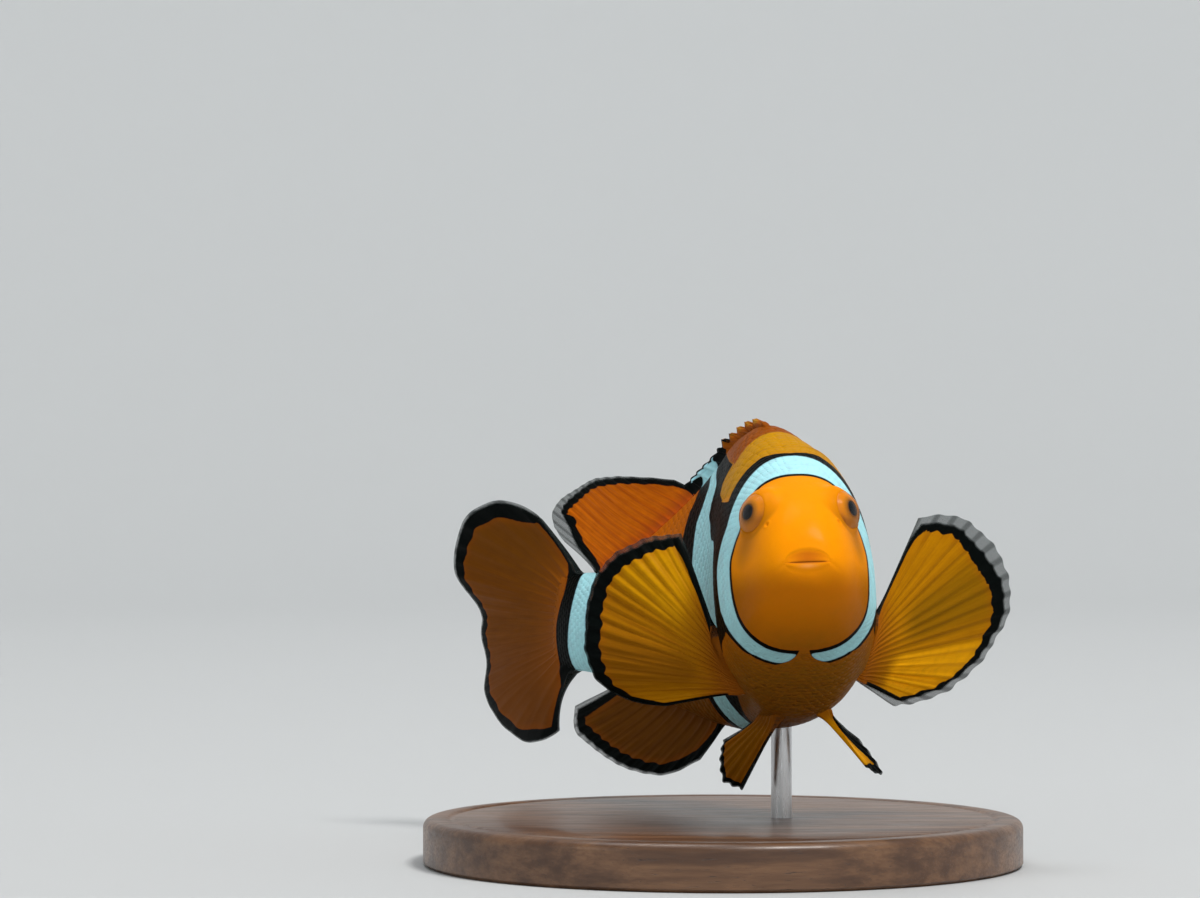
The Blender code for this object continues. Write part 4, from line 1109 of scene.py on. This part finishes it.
def lathe(name, c, ax, side, up, prof, seg, mat, extra):
    """Turns the profile of (radius, height along ax) round ax."""
    a = np.arange(seg) * 2 * np.pi / seg
    prof = np.array(prof, float)
    pts = (c + prof[:, 1][:, None, None] * ax
           + prof[:, 0][:, None, None] * (np.cos(a)[None, :, None] * side + np.sin(a)[None, :, None] * up))
    n = len(prof)
    faces = [tuple(f) for f in ring_faces(n, seg)]
    verts = pts.reshape(-1, 3)
    if volume(verts, ring_faces(n, seg)) < 0:
        faces = [f[::-1] for f in faces]
        faces += [tuple(range(seg))[::1], tuple((n - 1) * seg + i for i in range(seg))[::-1]]
    else:
        faces += [tuple(range(seg))[::-1], tuple((n - 1) * seg + i for i in range(seg))]
    attrs = {k: np.repeat(np.array(v, float), seg) for k, v in extra.items()}
    attrs["spin"] = np.stack([np.tile(np.cos(a), n), np.tile(np.sin(a), n), np.repeat(prof[:, 0], seg)], -1)
    return mesh_object(name, verts, faces, attrs, mat)


def eye_material():
    m = Mat("eye_iris")
    rad = m.attr("rad")
    spin = m.attr("spin", True)
    fibres = m.noise(5.0, 4.0, 0.65, spin)
    radial = m.noise(16.0, 3.0, 0.6, m.vec("MULTIPLY", spin, (1.0, 1.0, 0.08)))
    iris = m.mix(m.step(rad, 0.78, 1.42), (0.30, 0.100, 0.003), (0.80, 0.255, 0.002))
    iris = m.mix(m.math("MULTIPLY", m.step(radial, 0.42, 0.68), 0.20), iris, (0.36, 0.115, 0.004))
    iris = m.mix(m.math("MULTIPLY", m.step(fibres, 0.5, 0.7), 0.22), iris, (0.70, 0.27, 0.006))
    x, y, z = m.xyz(spin)
    # painted shade on the lower part of the iris
    iris = m.mix(m.math("MULTIPLY", m.step(y, 0.25, -0.9), 0.45), iris, (0.32, 0.108, 0.005))
    ring = m.math("MULTIPLY", m.step(rad, PUPIL - 0.01, PUPIL + 0.03), m.step(rad, PUPIL + 0.20, PUPIL + 0.06))
    iris = m.mix(m.math("MULTIPLY", ring, 0.70), iris, (0.13, 0.042, 0.004))
    # the iris's outer edge darkens into the painted shade of the skin round the eye
    iris = m.mix(m.step(rad, 1.55, 1.85, 0.0, 0.12), iris, (0.50, 0.150, 0.003))
    colour = m.mix(m.step(rad, PUPIL + 0.015, PUPIL - 0.03), iris, (0.002, 0.003, 0.006))
    m.set(Base_Color=colour, Roughness=m.step(radial, 0.3, 0.8, 0.34, 0.50), Normal=m.bump(radial, 0.00002, 0.4), Specular_IOR_Level=0.25)
    return m.m


def cornea_material():
    m = Mat("eye_cornea")
    nt = m.nt
    out = nt.nodes["Material Output"]
    clear = nt.nodes.new("ShaderNodeBsdfTransparent")
    clear.inputs[0].default_value = (0.99, 0.985, 0.98, 1)
    gloss = nt.nodes.new("ShaderNodeBsdfGlossy")
    gloss.inputs["Roughness"].default_value = 0.15
    fres = nt.nodes.new("ShaderNodeFresnel")
    fres.inputs["IOR"].default_value = 1.13
    mix = nt.nodes.new("ShaderNodeMixShader")
    nt.links.new(fres.outputs[0], mix.inputs[0])
    nt.links.new(clear.outputs[0], mix.inputs[1])
    nt.links.new(gloss.outputs[0], mix.inputs[2])
    nt.links.new(mix.outputs[0], out.inputs[0])
    nt.nodes.remove(m.b)
    return m.m


def build_eyes():
    iris, glaze = eye_material(), cornea_material()
    for side, sign in (("left", 1), ("right", -1)):
        c, ax, sd, up = eye_frame(sign)
        prof, rad = [], []
        for rho in np.concatenate([np.linspace(0.02, PUPIL, 12), np.linspace(PUPIL + 0.02, 1.80, 24)]):
            lens = 0.10 * np.sqrt(max(0.0, 1 - (rho / PUPIL) ** 2)) if rho < PUPIL else 0.0
            rim = 0.035 * math.exp(-((rho - PUPIL - 0.09) / 0.07) ** 2)
            prof.append((rho, 2.14 - 0.185 * rho**2 + lens - 0.05 * (rho < PUPIL) + rim))
            rad.append(rho)
        for th in np.radians(np.linspace(52.0, 178, 40)):
            prof.append((2.29 * math.sin(th), 2.29 * math.cos(th)))
            rad.append(2.0 + th)
        ball = lathe("eyeball_" + side, c, ax, sd, up, prof, 96, iris, {"rad": rad})
        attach(ball, "root")
        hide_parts("eye_" + side)
        # one clear shell over the iris, its edge under the skin
        cap = []
        for th in np.radians(np.linspace(1, 52, 30)):
            r = EYE_RADIUS + 0.03 + 0.07 * math.exp(-(math.degrees(th) / 30) ** 2)
            cap.append((r * math.sin(th), r * math.cos(th)))
        inner = [(1.86, 1.38), (0.9, 1.2), (0.02, 1.2)]
        lens = lathe("cornea_" + side, c, ax, sd, up, cap + inner, 72, glaze, {"rad": [q[0] for q in cap] + [q[0] for q in inner]})
        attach(lens, "root")


# ---------------------------------------------------------------- stand
def walnut():
    m = Mat("base_walnut")
    tc = m.nt.nodes.new("ShaderNodeTexCoord").outputs["Object"]
    p = m.vec("SCALE", tc, scale=1000.0)
    warp = m.noise(0.035, 3.0, 0.5, p)
    x, y, z = m.xyz(p)
    comb = m.nt.nodes.new("ShaderNodeCombineXYZ")
    m.put(comb.inputs[0], m.math("MULTIPLY", x, 0.06))
    m.put(comb.inputs[1], m.math("ADD", y, m.math("MULTIPLY", warp, 7.0)))
    m.put(comb.inputs[2], m.math("MULTIPLY", z, 1.4))
    q = comb.outputs[0]
    rings = m.noise(0.42, 4.0, 0.60, q, 0.15)
    fine = m.noise(2.6, 4.0, 0.65, q)
    pores = m.step(m.noise(5.5, 3.0, 0.6, q), 0.62, 0.72)
    wood = m.mix(m.step(rings, 0.32, 0.68), (0.070, 0.030, 0.014), (0.200, 0.098, 0.045))
    wood = m.mix(m.math("MULTIPLY", m.step(fine, 0.35, 0.75), 0.5), wood, (0.085, 0.038, 0.018))
    wood = m.mix(m.math("MULTIPLY", pores, 0.75), wood, (0.022, 0.010, 0.006))
    height = m.math("SUBTRACT", m.math("MULTIPLY", fine, 0.4), pores)
    m.set(Base_Color=wood, Roughness=m.step(fine, 0.3, 0.8, 0.34, 0.52), Normal=m.bump(height, 0.00005, 0.6), Coat_Weight=0.25,
          Coat_Roughness=0.22, Specular_IOR_Level=0.45)
    return m.m


def steel():
    m = Mat("rod_steel")
    tc = m.nt.nodes.new("ShaderNodeTexCoord").outputs["Object"]
    p = m.vec("SCALE", tc, scale=1000.0)
    brushed = m.noise(1.0, 4.0, 0.7, m.vec("MULTIPLY", p, (9.0, 9.0, 0.35)))
    worn = m.noise(0.5, 3.0, 0.6, p)
    m.set(Base_Color=m.mix(worn, (0.56, 0.56, 0.57), (0.70, 0.70, 0.71)), Metallic=1.0,
          Roughness=m.step(brushed, 0.2, 0.8, 0.22, 0.42), Normal=m.bump(brushed, 0.00002, 0.5))
    return m.m


def build_stand():
    z0 = STAND_LO[2]
    c = np.array([(STAND_LO[0] + STAND_HI[0]) / 2, (STAND_LO[1] + STAND_HI[1]) / 2, z0])
    x, y, z = np.eye(3)
    R, T, B = BASE_RADIUS, BASE_THICK, 0.9
    prof = [(0.05, 0.0), (R - 0.4, 0.0), (R, 0.35), (R, T - B)]
    prof += [(R - B + B * math.cos(t), T - B + B * math.sin(t)) for t in np.radians(np.linspace(8, 90, 10))]
    prof += [(R - 2.2, T), (R - 2.45, T - 0.12), (R - 2.7, T - 0.16), (R - 2.95, T - 0.12), (R - 3.2, T), (20, T), (10, T), (0.05, T)]
    base = lathe("base_disc", c, z, x, y, prof, 256, walnut(), {"rad": [q[0] for q in prof]})
    base.data.set_sharp_from_angle(angle=math.radians(40))
    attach(base, "root")
    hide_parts("stand_base")
    rx, ry, rr = (ROD_LO[0] + ROD_HI[0]) / 2, (ROD_LO[1] + ROD_HI[1]) / 2, (ROD_HI[0] - ROD_LO[0]) / 2
    foot = T - 0.6
    top = ROD_HI[2] - z0 + 0.9
    prof = [(0.02, foot), (rr, foot), (rr, T), (rr, T + 2), (rr, (T + top) / 2), (rr, top - 0.2), (rr - 0.2, top), (0.02, top)]
    rod = lathe("rod", np.array([rx, ry, z0]), z, x, y, prof, 48, steel(), {"rad": [q[0] for q in prof]})
    rod.data.set_sharp_from_angle(angle=math.radians(40))
    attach(rod, "root")
    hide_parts("stand_rod")


# ---------------------------------------------------------------- assemble
SKIN = skin_material()
skin = build_skin(SKIN)
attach(skin, "root")
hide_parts("head", "trunk", "tail_stalk")
for ob in build_scales(SKIN):
    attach(ob, "root")

FIN_DORSAL = fin_material("fin_dorsal_soft", (0.80, 0.185, 0.002), (0.46, 0.065, 0.002), 0.55, root=(0.48, 0.070, 0.004), reach=3.2)
FIN_SPINY = fin_material("fin_dorsal_spiny", (0.40, 0.100, 0.004), (0.21, 0.042, 0.004), 0.6, root=(0.25, 0.058, 0.004), reach=1.2,
                         bright=(0.46, 0.210, 0.020))
# the tail is painted in shade, far darker than the body's orange
FIN_TAIL_SHADED = fin_material("fin_tail_shaded", (0.190, 0.056, 0.003), (0.125, 0.038, 0.003), 0.25, root=(0.26, 0.070, 0.003), bright=(0.185, 0.062, 0.004),
                        deep=(0.165, 0.045, 0.003), reach=8.0)
# the anal fin is painted in deep shade
FIN_ANAL_SHADED = fin_material("fin_anal", (0.155, 0.052, 0.003), (0.095, 0.030, 0.003), 0.5, root=(0.12, 0.038, 0.004))
# the bright and deep colours of both pectorals are partly painted light and shade
FIN_PEC = fin_material("fin_pectoral", (0.54, 0.215, 0.0010), (0.34, 0.120, 0.0010), 0.6, root=(0.30, 0.078, 0.003), reach=4.4,
                       bright=(1.0, 0.44, 0.003), deep=(0.21, 0.096, 0.001))
FIN_PEC_R = fin_material("fin_pectoral_shaded", (0.46, 0.180, 0.0015), (0.28, 0.092, 0.0015), 0.8, root=(0.24, 0.062, 0.004), reach=4.6,
                         bright=(0.66, 0.30, 0.0015), deep=(0.22, 0.074, 0.002))
# the right pelvic is painted in shade; the left keeps the bright orange
FIN_PEL_SHADED = fin_material("fin_pelvic", (0.27, 0.098, 0.002), (0.18, 0.060, 0.002), 0.4, root=(0.19, 0.060, 0.003))
FIN_PEL_L = fin_material("fin_pelvic_bright", (0.95, 0.42, 0.003), (0.70, 0.28, 0.003), 0.4, root=(0.34, 0.095, 0.003))

spiny(FIN_SPINY)
soft("dorsal_rear", 37.2, 55.2, SOFT_LEAN, SOFT_LEN, TOP, 1, 15,
     (Curve([(-1, 0.0), (0, 0.15), (0.3, 0.3), (0.55, 0.6), (0.75, 1.3), (0.9, 1.6), (1.0, 1.3), (1.15, 0.8), (1.4, 0.45), (2, 0.15)]),
      Curve([(-1, 0.0), (0, 0.5), (0.3, 0.6), (0.6, 0.95), (0.85, 1.2), (1.0, 1.15), (1.5, 0.95), (2, 0.7)]), 0.10),
     FIN_DORSAL, "fin_dorsal_rear", "dorsal_rear_skin", 200, 76, (0.35, 0.6))
soft("anal", 38.5, 51.5, ANAL_LEAN, ANAL_LEN, BOT, -1, 12,
     (Curve([(-1, 0.0), (0, 0.2), (0.5, 0.4), (1.0, 0.6), (2, 0.2)]),
      Curve([(-1, 0.3), (0, 0.8), (0.5, 1.1), (1.0, 1.1), (2, 0.6)]), 0.07),
     FIN_ANAL_SHADED, "fin_anal", "anal_skin", 160, 60, (0.3, 2.2))
caudal(FIN_TAIL_SHADED)
pectoral("right", FIN_PEC_R)
pectoral("left", FIN_PEC)
pelvic("right", FIN_PEL_SHADED)
pelvic("left", FIN_PEL_L)
build_eyes()
build_stand()

# ---------------------------------------------------------------- floor, light, camera
def pale(name, near, far):
    m = Mat(name)
    tc = m.nt.nodes.new("ShaderNodeTexCoord").outputs["Object"]
    x, y, z = m.xyz(tc)
    away = m.math("SQRT", m.math("ADD", m.math("MULTIPLY", x, x), m.math("MULTIPLY", y, y)))
    colour = m.mix(m.step(away, 0.15, 1.5), near, far)
    colour = m.mix(m.math("MULTIPLY", m.noise(6.0, 3.0, 0.5, tc), 0.06), colour, (0.4, 0.4, 0.4))
    m.set(Base_Color=colour, Roughness=0.8, Specular_IOR_Level=0.15)
    return m.m


prof = [(0.1, 0.0), (300, 0.0), (700, 0.0)] + [(700 + 900 * math.sin(t), 900 - 900 * math.cos(t)) for t in np.radians(np.linspace(4, 90, 26))] + [(1600, 2600)]
a = np.arange(128) * 2 * np.pi / 128
pp = np.array(prof)
verts = np.stack([pp[:, 0][:, None] * np.cos(a), pp[:, 0][:, None] * np.sin(a), pp[:, 1][:, None] + 0 * a], -1).reshape(-1, 3)
fc = [tuple(f[::-1]) for f in ring_faces(len(prof), 128)] + [tuple(range(128))]
floor = mesh_object("studio_floor", verts, fc, {}, pale("studio_pale", (0.54, 0.55, 0.555), (0.66, 0.675, 0.68)))

world = bpy.data.worlds.new("studio")
world.use_nodes = True
world.node_tree.nodes["Background"].inputs[0].default_value = (0.90, 0.96, 1.0, 1)
world.node_tree.nodes["Background"].inputs[1].default_value = 0.20
bpy.context.scene.world = world


def area(name, at, aim, size, watts, colour=(1, 1, 1)):
    d = bpy.data.lights.new(name, "AREA")
    d.shape, d.size, d.energy, d.color = "DISK", size, watts, colour
    o = bpy.data.objects.new(name, d)
    o.location = at
    o.rotation_mode = "QUATERNION"
    o.rotation_quaternion = (Vector(aim) - Vector(at)).to_track_quat("-Z", "Y")
    bpy.context.scene.collection.objects.link(o)


AIM = (0.0, 0.0, 0.025)
area("light_key", (0.50, -0.62, 1.38), AIM, 0.50, 18.5, (1.0, 0.99, 0.97))
area("light_top", (-0.35, 0.10, 1.40), AIM, 0.70, 4.0, (0.98, 0.99, 1.0))
area("light_left", (-1.05, -0.80, 0.45), AIM, 0.60, 1.0, (0.97, 0.99, 1.0))
area("light_backdrop", (0.0, 0.35, 1.20), (0.0, 1.25, 0.15), 0.90, 3.2, (0.98, 0.99, 1.0))

cam_data = bpy.data.cameras.new("camera")
cam_data.sensor_width = 36.0
cam_data.lens = 36.0 * 4408 / 1200
cam_data.clip_start, cam_data.clip_end = 0.01, 20.0
cam = bpy.data.objects.new("camera", cam_data)
cam.location = Vector((MOUTH_AT + np.array([-18.875, -400.0, 10.254])) * MM)
cam.rotation_euler = (math.radians(90), 0, 0)
bpy.context.scene.collection.objects.link(cam)
bpy.context.scene.camera = cam
bpy.context.scene.view_settings.view_transform = "Standard"
